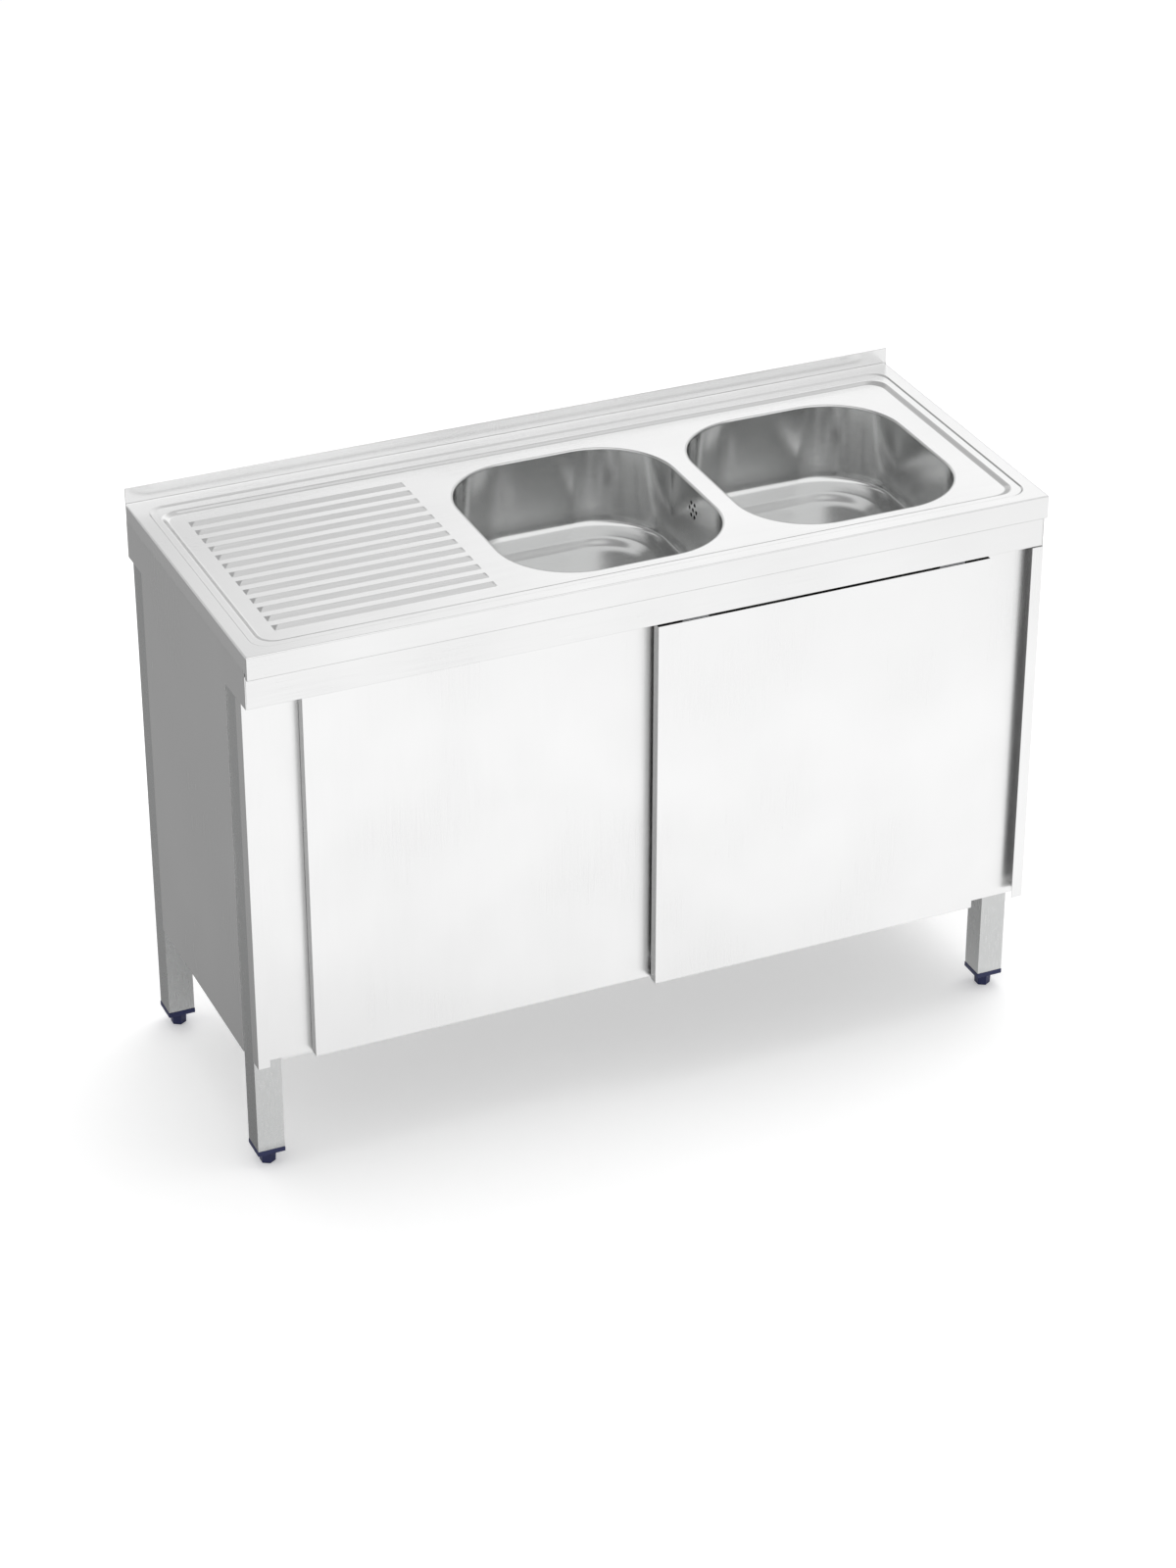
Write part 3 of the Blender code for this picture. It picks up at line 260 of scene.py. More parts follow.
# %% White paper with a shadow
FLOOR_REACH, FLOOR_DROP = 20.0, 0.4 * MM
PAPER_TONE, PAPER_LIFT = 0.90, 0.26
shape = bmesh.new()
bmesh.ops.create_grid(shape, x_segments=8, y_segments=8, size=FLOOR_REACH)
floor_mesh = bpy.data.meshes.new("floor")
shape.to_mesh(floor_mesh)
shape.free()
floor = bpy.data.objects.new("floor", floor_mesh)
floor.location.z = -FLOOR_DROP
scene.collection.objects.link(floor)
floor.visible_glossy = False

paper = bpy.data.materials.new("floor_paper")
paper.use_nodes = True
tree = paper.node_tree
tree.nodes.clear()
seen_by_camera = add_node(tree, "ShaderNodeLightPath").outputs["Is Camera Ray"]
matt = add_node(tree, "ShaderNodeBsdfDiffuse", {"Color": (PAPER_TONE, PAPER_TONE, PAPER_TONE, 1)})
lift = add_node(tree, "ShaderNodeEmission", {"Strength": product(tree, seen_by_camera, PAPER_LIFT)})
both = add_node(tree, "ShaderNodeAddShader", {0: matt.outputs[0], 1: lift.outputs[0]})
add_node(tree, "ShaderNodeOutputMaterial", {"Surface": both.outputs[0]})
floor_mesh.materials.append(paper)
print("Floor", 2 * FLOOR_REACH, "m wide")

# %% [markdown]
# Under the unit the floor is in shade, and the legs mirror that shade. The hidden floor can't give it, so a
# patch the size of the unit lies just above the paper, where only mirrored rays find it.

# %% The shaded patch that the legs mirror
SHADE_HALF_WIDTH, SHADE_HALF_DEPTH, SHADE_DROP = 0.6, 0.25, 0.2 * MM
shade_mesh = floor_mesh.copy()
shade_mesh.transform(Matrix.Diagonal((
    SHADE_HALF_WIDTH / FLOOR_REACH, SHADE_HALF_DEPTH / FLOOR_REACH, 1, 1,
)))
shade = bpy.data.objects.new("floor_shade", shade_mesh)
shade.location.z = -SHADE_DROP
shade.visible_camera = shade.visible_diffuse = shade.visible_shadow = False
scene.collection.objects.link(shade)
print("Shaded patch", 2 * SHADE_HALF_WIDTH, "by", 2 * SHADE_HALF_DEPTH, "m")

# %% [markdown]
# ## Lamp
# The shadow in the photograph is soft and lies under the unit, so the main light is large and above it, a
# little to the back and to the right. A sun lamp would give a hard edge. An area lamp almost three metres
# wide gives the soft one. It is hidden from mirrored rays, because the studio already has the patches of
# light that the steel shows.

# %% One large soft lamp above the unit
LAMP_AIM = Vector((0, 0, 0.4))
lamp = bpy.data.lights.new("soft_key", "AREA")
lamp.energy = 50.0
lamp.size = 2.8
key = bpy.data.objects.new("soft_key", lamp)
key.location = (0.6, 0.50, 3.2)
key.rotation_euler = (key.location - LAMP_AIM).to_track_quat("Z", "Y").to_euler()
key.visible_glossy = False
scene.collection.objects.link(key)
print("Key lamp", lamp.energy, "W")

# %% [markdown]
# ## Finishes
# No real surface has one even colour. A texture could bring the variation, but noise made in the material
# needs no image and has no seam. Both families of finish below start from the same small recipe: a colour
# that gets a little darker and a little lighter with a noise.

# %% A colour that wanders with a noise
NOISE_RANGE = (0.3, 0.7)  # nearly all values of a noise lie between these


def tinted(tree, noise, colour, spread, darkest, lightest):
    tint = add_node(tree, "ShaderNodeValToRGB", {"Fac": noise})
    stops = zip(tint.color_ramp.elements, (darkest, lightest), (1 - spread, 1 + spread))
    for stop, place, gain in stops:
        stop.position = place
        stop.color = (*(min(1.0, gain * part) for part in colour), 1)
    return tint.outputs["Color"]


def link_finish(tree, shader, sources):
    for socket, source in sources.items():
        tree.links.new(source, shader.inputs[socket])


print("Tint helper ready")

# %% [markdown]
# The sheets are satin stainless steel: a neutral metal whose fine grinding lines blur what it mirrors.
# A flat grey would look like paint. Here stretched noise changes the roughness from line to line, a broad
# noise adds the slight clouds that handling leaves, and a faint bump breaks up the mirror image. The
# Anisotropic input draws each mirrored patch out across the lines, and the Tangent node tells it which way
# the lines run. Object coordinates are metres on the piece itself, so the grain moves with a door when it
# slides.

# %% A ground steel with its lines along one direction
CLOUD_SCALE, CLOUD_DEPTH, LINE_TINT, LINE_DEPTH = 5.0, 0.02, 0.01, 0.05 * MM


def ground_steel(name, colour, roughness, grain, unevenness=0.03, lift=0.03, stretch=0.0):
    """Steel with grinding lines; grain holds the noise scale along X, Y and Z."""
    material = bpy.data.materials.new(name)
    material.use_nodes = True
    tree = material.node_tree
    steel = tree.nodes["Principled BSDF"]
    steel.inputs["Metallic"].default_value = 1.0
    steel.inputs["Anisotropic"].default_value = stretch
    across = add_node(tree, "ShaderNodeTangent", direction_type="UV_MAP", uv_map="grain")
    spot = add_node(tree, "ShaderNodeTexCoord").outputs["Object"]
    drawn_out = add_node(tree, "ShaderNodeMapping", {"Vector": spot, "Scale": grain}).outputs[0]
    lines = add_node(tree, "ShaderNodeTexNoise", {
        "Vector": drawn_out, "Scale": 1.0, "Detail": 3.0, "Roughness": 0.6,
    }).outputs["Fac"]
    clouds = add_node(tree, "ShaderNodeTexNoise", {
        "Vector": spot, "Scale": CLOUD_SCALE, "Detail": 2.0,
    }).outputs["Fac"]
    rough_lines = ramp(tree, lines, *NOISE_RANGE, roughness - unevenness, roughness + unevenness)
    rough_clouds = ramp(tree, clouds, *NOISE_RANGE, -CLOUD_DEPTH, CLOUD_DEPTH)
    relief = add_node(tree, "ShaderNodeBump", {
        "Height": lines, "Strength": lift, "Distance": LINE_DEPTH,
    })
    link_finish(tree, steel, {
        "Base Color": tinted(tree, lines, colour, LINE_TINT, *NOISE_RANGE),
        "Roughness": calculate(tree, "ADD", rough_lines, rough_clouds),
        "Normal": relief.outputs["Normal"],
        "Tangent": across.outputs[0],
    })
    return material


print("Ground steel ready")

# %% [markdown]
# Five metals are needed. The worktop is ground lengthwise and the upright sheets from top to bottom. The
# bowls are ground round their walls, and their steel is given a darker colour as painted shade for the dim
# inside of the bowls. The tubes are coarser, and the hidden fittings have the dull grain of zinc plate, which
# has no direction. One steel could serve for all, but these differences are what tells the pieces apart.

# %% The five metals
SATIN = (0.86, 0.86, 0.86)
satin_level = ground_steel("satin_sheet_level", SATIN, 0.24, grain=(12, 700, 700))
satin_upright = ground_steel(
    "satin_sheet_upright", SATIN, 0.25, grain=(700, 700, 12), unevenness=0.02, lift=0.02, stretch=0.8,
)
# The bowls' colour is darker than SATIN: painted shade for the dim inside of the bowls.
bowl_steel_painted_dark = ground_steel(
    "bowl_painted_shade_steel", (0.690, 0.694, 0.692), 0.18,
    grain=(60, 60, 500), unevenness=0.02, lift=0.015, stretch=0.75,
)
leg_steel = ground_steel(
    "ground_tube_steel", (0.65, 0.657, 0.655), 0.30,
    grain=(500, 500, 60), unevenness=0.06, lift=0.10, stretch=0.6,
)
zinc = ground_steel(
    "zinc_plate", (0.55, 0.56, 0.58), 0.40, grain=(120, 120, 120), unevenness=0.08, lift=0.10,
)
print("Five metals ready")

# %% [markdown]
# Plastic and rubber come from a mould. Their skin has a fine even texture, and where a tool or a boot rubs
# it the gloss changes a little. Noise at two scales gives both, in the colour, the roughness and the bump.

# %% A moulded skin
RUB_SCALE, RUB_TINT, RUB_GLOSS, SKIN_DEPTH = 40.0, 0.12, 0.06, 0.1 * MM
RUB_STOPS = (0.25, 0.75)


def moulded(name, colour, roughness, texture=900.0, lift=0.15):
    """Plastic or rubber; texture is the scale of the skin's fine grain."""
    material = bpy.data.materials.new(name)
    material.use_nodes = True
    tree = material.node_tree
    spot = add_node(tree, "ShaderNodeTexCoord").outputs["Object"]
    fine = add_node(tree, "ShaderNodeTexNoise", {
        "Vector": spot, "Scale": texture, "Detail": 2.0,
    }).outputs["Fac"]
    rubbed = add_node(tree, "ShaderNodeTexNoise", {
        "Vector": spot, "Scale": RUB_SCALE, "Detail": 3.0,
    }).outputs["Fac"]
    relief = add_node(tree, "ShaderNodeBump", {
        "Height": fine, "Strength": lift, "Distance": SKIN_DEPTH,
    })
    link_finish(tree, tree.nodes["Principled BSDF"], {
        "Base Color": tinted(tree, rubbed, colour, RUB_TINT, *RUB_STOPS),
        "Roughness": ramp(tree, rubbed, *NOISE_RANGE, roughness - RUB_GLOSS, roughness + RUB_GLOSS),
        "Normal": relief.outputs["Normal"],
    })
    return material


navy = moulded("navy_plastic", (0.014, 0.019, 0.085), 0.42)
nylon = moulded("white_nylon", (0.80, 0.80, 0.77), 0.45)
rubber = moulded("black_rubber", (0.020, 0.020, 0.021), 0.68, texture=1400.0)
black_plastic = moulded("black_plastic", (0.025, 0.025, 0.027), 0.48)
print("Four moulded skins ready")

# %% [markdown]
# ## The direction of the grain
# The Tangent node reads the grain's direction from a UV map. Unwrapping by hand would give neater islands,
# but the grain only has to know which way its lines run, so each face is laid flat by itself. On upright
# sheets the lines go up and down; in the bowls they go round the wall.

# %% Lay a UV map along the grinding lines
LEVEL_TILT = 0.7


def lay_grain(mesh, level_lines=False):
    """A UV map in metres: U runs across the lines of an upright face, and to the right on a level one."""
    layer = mesh.uv_layers.new(name="grain")
    for face in mesh.polygons:
        tilt = face.normal
        if abs(tilt.z) > LEVEL_TILT:
            across = Vector((1, 0, 0))
        else:
            across = Vector((-tilt.y, tilt.x, 0)).normalized()
            if level_lines:
                across = tilt.cross(across)
        along = tilt.cross(across)
        for corner in face.loop_indices:
            point = mesh.vertices[mesh.loops[corner].vertex_index].co
            layer.data[corner].uv = (point.dot(across), point.dot(along))


print("Grain helper ready")

# %% [markdown]
# ## Bringing a piece into the frame
# Each new piece has to ride on the body that carries the real one, hide the CAD solid it stands for, and
# take its finish. That could be written out for every piece. The imported record already lists which node
# belongs to which body, so one helper reads that and does all three.

# %% Put a finished mesh in the frame
BODY = {
    node: body for body, nodes in frame["record"]["behaviour"]["bodies"].items() for node in nodes
}


def bring_in(mesh, node, finish, sharp=30.0, level_lines=False):
    """A mesh in world coordinates becomes the visible piece of one CAD node."""
    mesh.name = f"{node}_made"
    mesh.materials.clear()
    mesh.materials.append(finish)
    lay_grain(mesh, level_lines)
    mesh.shade_smooth()
    mesh.set_sharp_from_angle(angle=math.radians(sharp))
    piece = bpy.data.objects.new(f"{node}_made", mesh)
    scene.collection.objects.link(piece)
    even = piece.modifiers.new("even_shading", "WEIGHTED_NORMAL")
    even.keep_sharp = True
    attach(piece, BODY[node])
    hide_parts(node)
    return piece


# %% [markdown]
# ## Cutting and joining
# Sheet metal is cut and welded. A Boolean modifier does the same to a mesh. The result is settled at once
# into plain faces, and the cutter is thrown away, so that no helper object is left in the scene.

# %% Settle a stack of modifiers into a mesh
def mesh_of(shape):
    mesh = bpy.data.meshes.new("shape")
    shape.to_mesh(mesh)
    shape.free()
    return mesh


def on_bench(mesh):
    workpiece = bpy.data.objects.new("workpiece", mesh)
    scene.collection.objects.link(workpiece)
    return workpiece


def settle(workpiece, helpers=()):
    bpy.context.view_layer.update()
    view = bpy.context.evaluated_depsgraph_get()
    mesh = bpy.data.meshes.new_from_object(workpiece.evaluated_get(view))
    for spent in (workpiece, *helpers):
        bpy.data.objects.remove(spent, do_unlink=True)
    return mesh


def machine(mesh, tools):
    """Cut ("DIFFERENCE") or weld ("UNION") a list of (operation, mesh) tools into a mesh."""
    workpiece = on_bench(mesh)
    helpers = []
    for operation, tool_mesh in tools:
        helper = on_bench(tool_mesh)
        step = workpiece.modifiers.new(operation, "BOOLEAN")
        step.operation = operation
        step.object = helper
        step.solver = "EXACT"
        helpers.append(helper)
    return settle(workpiece, helpers)


print("Bench ready")

# %% [markdown]
# The worktop and the bowls are one millimetre of sheet. Drawing both sides would be twice the work. It is
# enough to draw the side that shows, turn it to face up, and let a Solidify modifier add the other side.

# %% Give a skin the thickness of the sheet
SHEET = 1.0


def sheet_from(shape, level_face):
    """A closed sheet under a skin; level_face picks the face that has to look up."""
    bmesh.ops.recalc_face_normals(shape, faces=shape.faces)
    if level_face(shape.faces).normal.z < 0:
        bmesh.ops.reverse_faces(shape, faces=shape.faces)
    skin = on_bench(mesh_of(shape))
    gauge = skin.modifiers.new("gauge", "SOLIDIFY")
    gauge.thickness = SHEET * MM
    gauge.offset = -1
    return settle(skin)


print("Sheet", SHEET, "mm thick")

# %% [markdown]
# ## Worktop
# The worktop is one pressed sheet. From its folded front edge it runs over a flat rim, down a shallow step
# and a deeper one to the sunk deck. Modelling it as a stack of level loops, joined like the rings of a
# basket, gives the true soft section of a pressing. All sizes are the CAD model's, in millimetres.

# %% Level loops and the skin between them
def round_loop(left, right, front, back, radius, z, steps=10):
    """A level rounded rectangle, anticlockwise seen from above."""
    loop = []
    corners = ((right, back, -1, -1), (left, back, 1, -1), (left, front, 1, 1), (right, front, -1, 1))
    for quarter, (x, y, inward_x, inward_y) in enumerate(corners):
        for step in range(steps + 1):
            angle = (quarter + step / steps) * math.pi / 2
            loop.append(Vector((
                x + inward_x * radius + radius * math.cos(angle),
                y + inward_y * radius + radius * math.sin(angle),
                z,
            )) * MM)
    return loop


def skin_between(shape, loops):
    """Faces from loop to loop; returns the rings of vertices."""
    rings = [[shape.verts.new(point) for point in loop] for loop in loops]
    for outer, inner in zip(rings, rings[1:]):
        for i in range(len(outer)):
            j = (i + 1) % len(outer)
            shape.faces.new((outer[i], outer[j], inner[j], inner[i]))
    return rings


print("Loops ready")

# %% [markdown]
# A press leaves two kinds of bend: a full fold at the edges, and a low step with a short bend at its top and
# foot. A bevel could round drawn corners, but these two small functions give the points of the bends
# themselves, so the width of each highlight is known beforehand.

# %% Folds and pressed steps
PRESS_CORNER = 25.0


def fold(radius, steps=4):
    """(inset, drop) points round an outside bend from upright to level."""
    turns = [math.radians(90 * step / steps) for step in range(steps + 1)]
    return [(radius * (1 - math.cos(t)), radius * (1 - math.sin(t))) for t in turns]


def pressed_step(inset, inset_back, run, run_back, top, drop, bend=0.25):
    """A step in a pressing: a short bend, a straight slope and a short bend back to level."""
    rows = []
    for t in (0.0, bend / 2, bend, 0.5, 1 - bend, 1 - bend / 2, 1.0):
        end = min(t, 1 - t)
        fall = (end * end / (2 * bend) if end < bend else end - bend / 2) / (1 - bend)
        if t > 0.5:
            fall = 1 - fall
        rows.append((inset + run * t, inset_back + run_back * t, PRESS_CORNER, top + drop * fall))
    return rows


print("Bends ready")

# %% [markdown]
# The rim's section starts at the lip that is turned in under the front flange. Each row holds the inset from
# the worktop's edge at the front and sides, the inset at the back, the corner's radius and the drop below the
# rim. The steps lie further in at the back, because the flat strip in front of the upstand is wider there.

# %% The rim, from the lip under the flange to the deck
HALF_WIDTH, HALF_DEPTH, RIM_HEIGHT = 600.0, 250.0, 850.0
LEDGE_DROP, DECK_DROP = 1.5, 5.0
FRONT_FLANGE, FLANGE_LIP = 35.0, 6.0
EDGE_BEND, LIP_BEND, EDGE_CORNER, LIP_CORNER = 1.8, 1.2, 1.2, 0.8

section = [(FLANGE_LIP, FLANGE_LIP, LIP_CORNER, FRONT_FLANGE)]
section += [(inset, inset, EDGE_CORNER, FRONT_FLANGE - drop) for inset, drop in reversed(fold(LIP_BEND))]
section += [(inset, inset, EDGE_CORNER, drop) for inset, drop in fold(EDGE_BEND)]
section += [(2.6, 2.6, 2.0, 0.0), (19.0, 20.0, PRESS_CORNER, 0.0)]
section += pressed_step(20.0, 21.0, 2.7, 10.0, 0.0, LEDGE_DROP)
section += [(23.6, 32.0, PRESS_CORNER, LEDGE_DROP), (31.0, 42.7, PRESS_CORNER, LEDGE_DROP)]
section += pressed_step(31.8, 43.5, 8.5, 8.5, LEDGE_DROP, DECK_DROP - LEDGE_DROP)
section += [(41.5, 53.2, PRESS_CORNER, DECK_DROP)]

top = bmesh.new()
rim_loops = []
for inset, inset_back, radius, drop in section:
    rim_loops.append(round_loop(
        -HALF_WIDTH + inset, HALF_WIDTH - inset, -HALF_DEPTH + inset, HALF_DEPTH - inset_back,
        radius, RIM_HEIGHT - drop,
    ))
deck_outlines = [skin_between(top, rim_loops)[-1]]
print(len(section), "loops in the rim")

# %% [markdown]
# The drainer has thirteen ribs, pressed up like low hipped roofs. An array of boxes with a bevel would come
# close, but the hips at the ends matter: their left faces are the row of small dark triangles in the
# photograph. So each rib is a stack of rectangles that shrink towards the ridge.

# %% The drainer's ribs
RIB_ROWS, RIB_BACK_Y, RIB_FRONT_Y = 13, 162.0, -175.2
RIB_LEFT_X, RIB_RIGHT_X, RIB_HALF, RIB_HIP = -535.0, -215.0, 8.0, 7.3
rib_section = ((8.8, 0.0), (RIB_HALF, 0.0), (0.7, 3.65), (0.4, 3.85), (0.1, 3.95))  # half width, rise
rib_corners = ((1, 1), (-1, 1), (-1, -1), (1, -1))
rib_x = (RIB_LEFT_X + RIB_RIGHT_X) / 2
ridge_half = (RIB_RIGHT_X - RIB_LEFT_X) / 2 - RIB_HIP
for row in range(RIB_ROWS):
    rib_y = RIB_BACK_Y + (RIB_FRONT_Y - RIB_BACK_Y) * row / (RIB_ROWS - 1)
    loops = []
    for half, rise in rib_section:
        reach = ridge_half + RIB_HIP * half / RIB_HALF
        z = RIM_HEIGHT - DECK_DROP + rise
        loops.append([Vector((rib_x + sx * reach, rib_y + sy * half, z)) * MM for sx, sy in rib_corners])
    rings = skin_between(top, loops)
    top.faces.new(rings[-1])
    deck_outlines.append(rings[0])
print(RIB_ROWS, "ribs pressed")

# %% [markdown]
# The deck is the flat that is left between the rim, the ribs and the bowls' openings. A Boolean could cut the
# openings out. Filling the flat between outlines that already exist keeps every vertex shared, so the sheet
# stays one piece. The openings lie a tenth of a millimetre outside the bowls' rolled lips, which fill them.

# %% The deck between the outlines
BOWL_X = {"left": -8.0, "right": 357.0}
BOWL_Y, BOWL_WIDTH, BOWL_LENGTH, BOWL_CORNER = -13.0, 330.0, 360.0, 110.0
LIP_REACH = 3.6


def bowl_loop(side, inset, z, steps=16):
    x, half_x, half_y = BOWL_X[side], BOWL_WIDTH / 2 - inset, BOWL_LENGTH / 2 - inset
    return round_loop(
        x - half_x, x + half_x, BOWL_Y - half_y, BOWL_Y + half_y, BOWL_CORNER - inset, z, steps
    )


def largest(faces):
    return max(faces, key=lambda face: face.calc_area())


for side in BOWL_X:
    points = bowl_loop(side, -LIP_REACH, RIM_HEIGHT - DECK_DROP)
    deck_outlines.append([top.verts.new(point) for point in points])
deck_edges = []
for outline in deck_outlines:
    for i, corner in enumerate(outline):
        pair = (corner, outline[(i + 1) % len(outline)])
        deck_edges.append(top.edges.get(pair) or top.edges.new(pair))
bmesh.ops.triangle_fill(top, use_beauty=True, edges=deck_edges, normal=(0, 0, 1))
print("Worktop skin:", len(top.faces), "faces")
pressed = sheet_from(top, largest)

# %% [markdown]
# At the back the sheet is folded up into a low upstand with a rounded hem and a small fillet at its foot. The
# fillet catches the thin line of light that runs along it in the photograph. A box with a bevel would have
# no fillet, so the section is drawn once and carried from end to end, like a bar out of a mill.

# %% The upstand
UPSTAND, HEM, HEM_STEPS, ROOT = 25.0, 2.0, 6, 0.5
hem = [(-3.6, -ROOT), (-3.6, 0.02), (-2.4, 0.25), (-1.6, 0.75), (-1.15, 1.6), (-HEM / 2, 2.8)]
for step in range(HEM_STEPS + 1):
    turn = math.pi * (1 - step / HEM_STEPS)
    hem.append((HEM / 2 * math.cos(turn), UPSTAND - HEM / 2 + HEM / 2 * math.sin(turn)))
hem.append((HEM / 2, -ROOT))

shape = bmesh.new()
ends = []
for x in (-HALF_WIDTH, HALF_WIDTH):
    ends.append([
        shape.verts.new(Vector((x, HALF_DEPTH - HEM / 2 + y, RIM_HEIGHT + z)) * MM) for y, z in hem
    ])
for i in range(len(hem)):
    j = (i + 1) % len(hem)
    shape.faces.new((ends[0][i], ends[0][j], ends[1][j], ends[1][i]))
for end in ends:
    shape.faces.new(end)
bmesh.ops.recalc_face_normals(shape, faces=shape.faces)
upstand = mesh_of(shape)
print("Upstand with", len(hem), "points in its section")

# %% [markdown]
# The flange is deep at the front and lower at the sides and back. Drawing it with two depths would break the
# loops, so it was drawn deep all round, and a block now trims it, as shears would. Welding the upstand on in
# the same stack makes one clean mesh of the whole worktop.

# %% Trim the side flanges and weld on the upstand
SIDE_FLANGE, CLEAR = 25.0, 20.0


def block(low, high):
    """A closed box between two corners, given in millimetres."""
    shape = bmesh.new()
    bmesh.ops.create_cube(shape, size=1.0)
    low, high = Vector(low) * MM, Vector(high) * MM
    spread = Matrix.Diagonal((*(high - low), 1))
    bmesh.ops.transform(shape, matrix=Matrix.Translation((low + high) / 2) @ spread, verts=shape.verts)
    return mesh_of(shape)


side_trim = block(
    (-HALF_WIDTH - CLEAR, -HALF_DEPTH + FLANGE_LIP, RIM_HEIGHT - FRONT_FLANGE - CLEAR),
    (HALF_WIDTH + CLEAR, HALF_DEPTH + CLEAR, RIM_HEIGHT - SIDE_FLANGE),
)
worktop = machine(pressed, [("DIFFERENCE", side_trim), ("UNION", upstand)])
bring_in(worktop, "sink_top", satin_level, sharp=24.0)
print("Worktop:", len(worktop.polygons), "faces")

# %% [markdown]
# ## Bowls
# Each bowl is drawn from flat sheet, so every change of direction is a soft radius: a rolled lip, a tall
# wall, a small bead, a sloping shoulder and a second step to the floor. A turned shape would be round, so
# the same loops are used again, this time going down. Insets are from the opening's edge, depths from the
# deck.

# %% The bowl's section
WASTE_HOLE = 24.3
lip = [
    (-3.5, 0.0), (-3.3, -0.14), (-2.7, -0.2), (-1.7, -0.1), (-0.9, 0.35), (-0.3, 1.1), (-0.03, 2.0),
]
wall = [(0.0, 3.2), (0.0, 20.0), (0.0, 60.0), (0.0, 100.0), (0.0, 106.0)]
bead = [(0.12, 107.8), (0.5, 109.6), (0.75, 111.2), (0.9, 112.6), (1.25, 114.2)]
shoulder = [
    (1.9, 116.2), (3.0, 118.3), (4.8, 120.2), (7.2, 121.6), (10.0, 122.5), (14.0, 123.3), (22.0, 124.8),
    (26.5, 125.7), (28.5, 125.95), (30.5, 126.15),
]
step_to_floor = [
    (32.5, 126.6), (35.0, 127.6), (38.0, 129.0), (42.0, 131.0), (45.5, 132.8), (48.5, 134.1), (51.0, 134.9),
    (54.0, 135.6), (58.0, 136.2), (63.0, 136.6),
]
bowl_section = lip + wall + bead + shoulder + step_to_floor
waste_section = [  # radius of the circle, depth
    (48.5, 139.8), (46.8, 140.3), (45.2, 141.6), (43.9, 142.8), (42.6, 143.0), (30.0, 143.0),
    (WASTE_HOLE, 143.0),
]
print("Bowl section:", len(bowl_section) + len(waste_section), "rows")

# %% [markdown]
# The floor leads to a round waste, so the last loops are circles. A separate disc could be joined on, but a
# circle with as many points as the other loops carries on the same skin without a seam. Its points are turned
# by half a step, so that each sits opposite a point of the rounded rectangle.

# %% Draw a bowl
def round_ring(x, y, radius, z, count):
    """A level circle whose points sit opposite those of a rounded rectangle."""
    points = []
    for step in range(count):
        turn = (step + 0.5) * 2 * math.pi / count
        points.append(Vector((x + radius * math.cos(turn), y + radius * math.sin(turn), z)) * MM)
    return points


def lowest(faces):
    return min(faces, key=lambda face: face.calc_center_median().z)


def drawn_bowl(side):
    deck_z = RIM_HEIGHT - DECK_DROP
    loops = [bowl_loop(side, inset, deck_z - depth) for inset, depth in bowl_section]
    for radius, depth in waste_section:
        loops.append(round_ring(BOWL_X[side], BOWL_Y, radius, deck_z - depth, len(loops[0])))
    shape = bmesh.new()
    skin_between(shape, loops)
    return sheet_from(shape, lowest)


print("Bowl tool ready")

# %% [markdown]
# Seven small holes in the wall let the water over before it reaches the rim. They could be painted on, but a
# hole shows what is behind it, here the black overflow box. A punch tears the last part of the sheet, so its
# hole opens out behind. The tapered tool copies that, and hardly any bright edge is left to see in the hole.

# %% A tapered punch
def punch(start, end, start_radius, end_radius, count=20):
    """A round tapered punch between two points, in millimetres."""
    shape = bmesh.new()
    run = Vector(end) - Vector(start)
    turn = run.to_track_quat("Z", "Y").to_matrix().to_4x4()
    middle = Matrix.Translation((Vector(start) + Vector(end)) / 2 * MM)
    bmesh.ops.create_cone(
        shape, cap_ends=True, segments=count, radius1=start_radius * MM, radius2=end_radius * MM,
        depth=run.length * MM, matrix=middle @ turn,
    )
    return mesh_of(shape)


print("Punch ready")

# %% Punch the overflow holes and bring the bowls in
OVERFLOW_Z, OVERFLOW_HOLE, OVERFLOW_RING, OVERFLOW_COUNT = 809.0, 3.0, 11.0, 6
BREAKOUT, PUNCH_BEFORE, PUNCH_BEHIND = 1.7, 1.0, 1.2  # widening per millimetre, reach on each side

hole_spots = [(0.0, 0.0)]
for step in range(OVERFLOW_COUNT):
    turn = step * 2 * math.pi / OVERFLOW_COUNT
    hole_spots.append((OVERFLOW_RING * math.cos(turn), OVERFLOW_RING * math.sin(turn)))
for side, outward in (("left", 1), ("right", -1)):
    wall_x = BOWL_X[side] + outward * BOWL_WIDTH / 2
    holes = []
    for across, rise in hole_spots:
        y, z = BOWL_Y + across, OVERFLOW_Z + rise
        holes.append(("DIFFERENCE", punch(
            (wall_x - outward * PUNCH_BEFORE, y, z), (wall_x + outward * PUNCH_BEHIND, y, z),
            OVERFLOW_HOLE - PUNCH_BEFORE * BREAKOUT, OVERFLOW_HOLE + PUNCH_BEHIND * BREAKOUT,
        )))
    bowl = machine(drawn_bowl(side), holes)
    bring_in(bowl, f"bowl_{side}", bowl_steel_painted_dark, sharp=40.0, level_lines=True)
    print("Bowl", side, len(bowl.polygons), "faces")

# %% [markdown]
# ## Softened copies
# Most other pieces have the right shape in CAD already, but their edges are knife sharp, and a sharp edge
# catches no light. Rebuilding each one would take long. Copying the CAD mesh, merging its triangles back
# into flat faces and adding a small bevel keeps every size and gives each edge its bright line.

# %% Copy a CAD solid with soft edges
SAME_SPOT, SAME_PLANE = 0.002 * MM, math.radians(1.0)


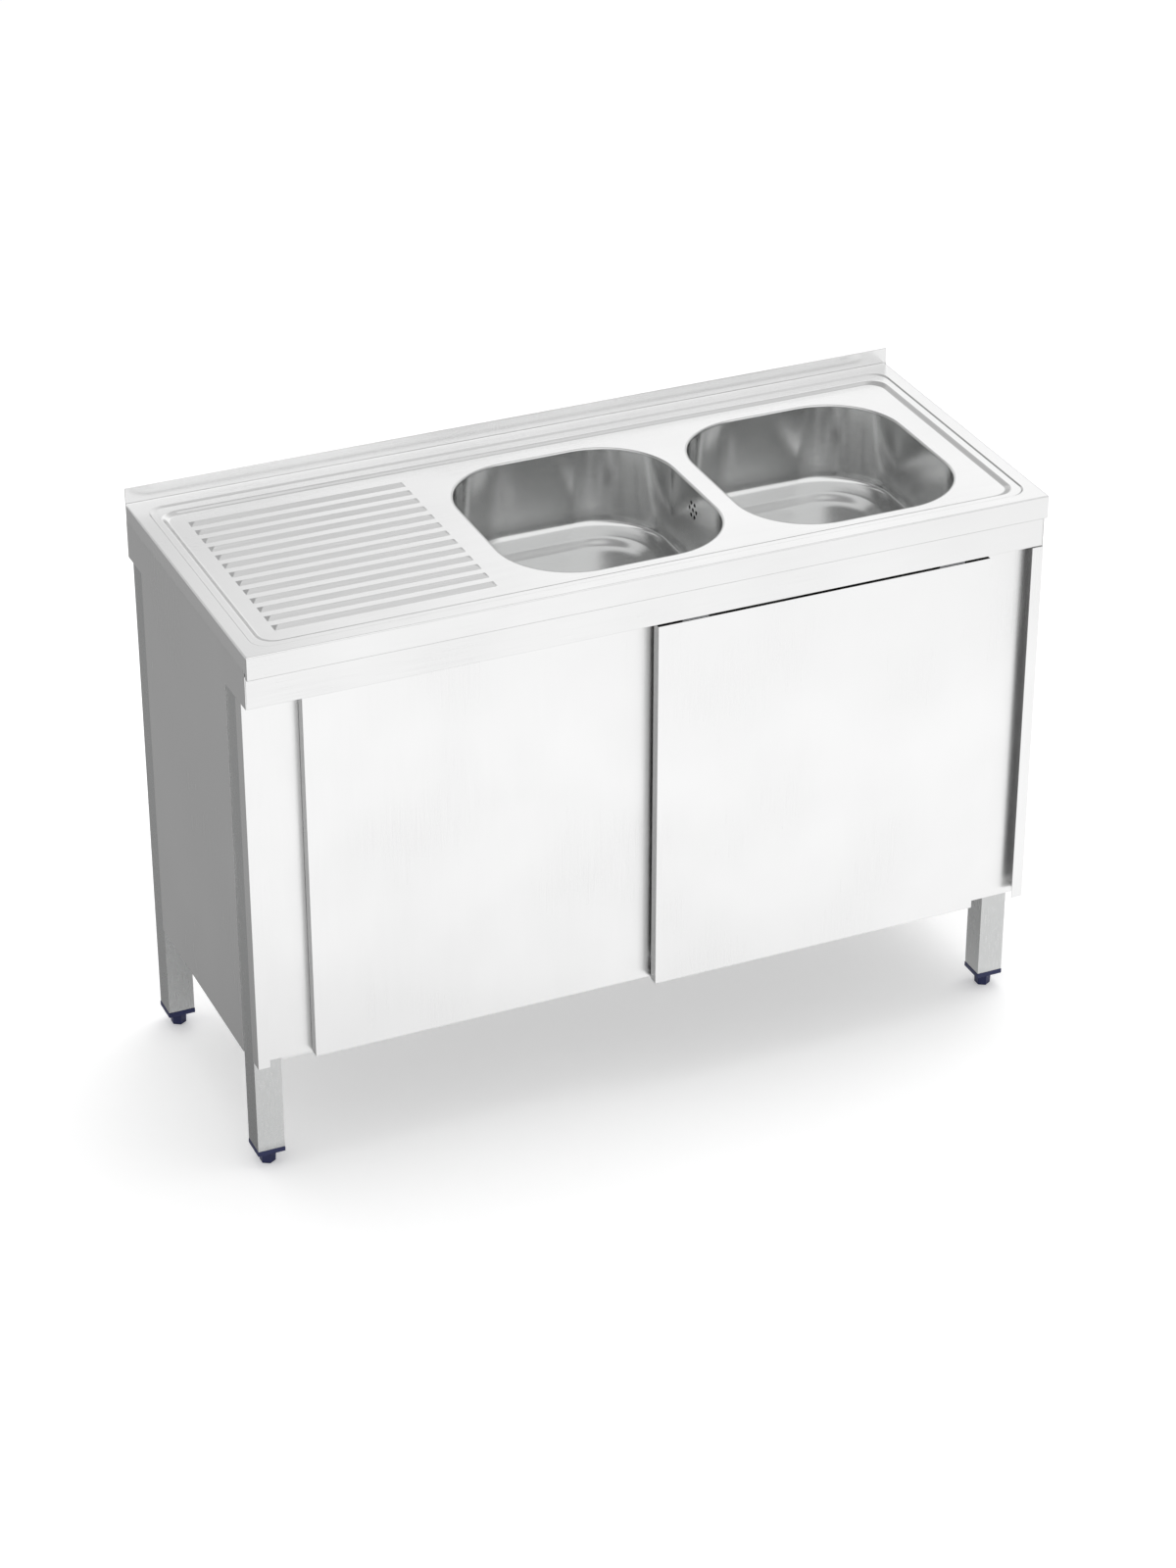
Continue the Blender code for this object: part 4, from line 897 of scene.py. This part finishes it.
def softened(node, finish, radius=0.4, steps=2, angle=30.0):
    """The piece of a CAD node with bevelled edges; only edges sharper than the angle are eased."""
    shape = bmesh.new()
    shape.from_mesh(frame["nodes"][node].data)
    bmesh.ops.remove_doubles(shape, verts=shape.verts, dist=SAME_SPOT)
    bmesh.ops.dissolve_limit(shape, angle_limit=SAME_PLANE, verts=shape.verts[:], edges=shape.edges[:])
    places = [tuple(v.co) for v in shape.verts]
    for index, corner in enumerate(shape.verts):
        corner.index = index
    outlines = [[v.index for v in face.verts] for face in shape.faces]
    shape.free()
    plain = bpy.data.meshes.new(node)
    plain.from_pydata(places, [], outlines)
    workpiece = on_bench(plain)
    ease = workpiece.modifiers.new("ease", "BEVEL")
    ease.width = radius * MM
    ease.segments = steps
    ease.limit_method = "ANGLE"
    ease.angle_limit = math.radians(angle)
    ease.use_clamp_overlap = True
    return bring_in(settle(workpiece), node, finish)


print("Softening tool ready")

# %% [markdown]
# The cabinet's sheets are folded from the same steel as the worktop. The fascia, the shelf and the back have
# their grinding lines lengthwise, the side panels, the jambs and the doors from top to bottom. Their folds
# are in the CAD solids, so a softened copy with the right finish is all they need.

# %% The cabinet's sheets
for node in ("front_fascia", "bottom_shelf", "back_panel"):
    softened(node, satin_level)
for side in BOWL_X:
    for node in ("side_panel", "jamb", "door_front", "door_back"):
        softened(f"{node}_{side}", satin_upright)
print("Sheets softened")

# %% [markdown]
# The legs are square tubes with rolled corners. A dark blue plastic cap closes each tube, and a blue foot,
# with a hexagon to turn it by, is screwed into the cap. They could be drawn anew with larger radii. A wider
# bevel with one more step on the copy looks the same and keeps the fit of cap and tube.

# %% Legs and feet
for row in ("front", "rear"):
    for side in BOWL_X:
        softened(f"leg_{row}_{side}", leg_steel, 0.7, 3)
        softened(f"foot_cap_{row}_{side}", navy, 0.8, 3)
        softened(f"foot_{row}_{side}", navy, 0.8, 3)
print("Legs and feet softened")

# %% [markdown]
# The doors hang on nylon rollers in a track behind the fascia, and a guide on the shelf holds their lower
# edge. Under each bowl a plastic nut clamps a steel waste against a rubber gasket, a rubber plug closes the
# waste, and a pipe leads the overflow down to it. Little of this shows while the doors are shut, and plain
# CAD solids would nearly do, but it shows when they slide. On the round pieces a larger angle eases only the
# rims and leaves the facets of the round alone.

# %% Hanging gear, guide, wastes and overflows
for node in ("door_track", "door_guide", "rear_rail"):
    softened(node, zinc, 0.3)
for side in BOWL_X:
    for end in BOWL_X:
        softened(f"hanger_bracket_{side}_{end}", zinc, 0.3)
        softened(f"hanger_axle_{side}_{end}", zinc, 0.3)
        softened(f"hanger_roller_{side}_{end}", nylon, 0.6, 3, 50.0)
    for level in ("low", "high"):
        softened(f"jamb_screw_{side}_{level}", zinc, 0.4)
    softened(f"waste_body_{side}", satin_level, 0.5, 2, 40.0)
    softened(f"waste_gasket_{side}", rubber, 0.4, 2, 40.0)
    softened(f"waste_nut_{side}", black_plastic, 0.8, 2, 40.0)
    softened(f"waste_plug_{side}", rubber, 0.8, 3, 40.0)
    softened(f"overflow_box_{side}", black_plastic, 0.5)
    softened(f"overflow_pipe_{side}", black_plastic, 0.3, 2, 60.0)
print("Fittings softened")
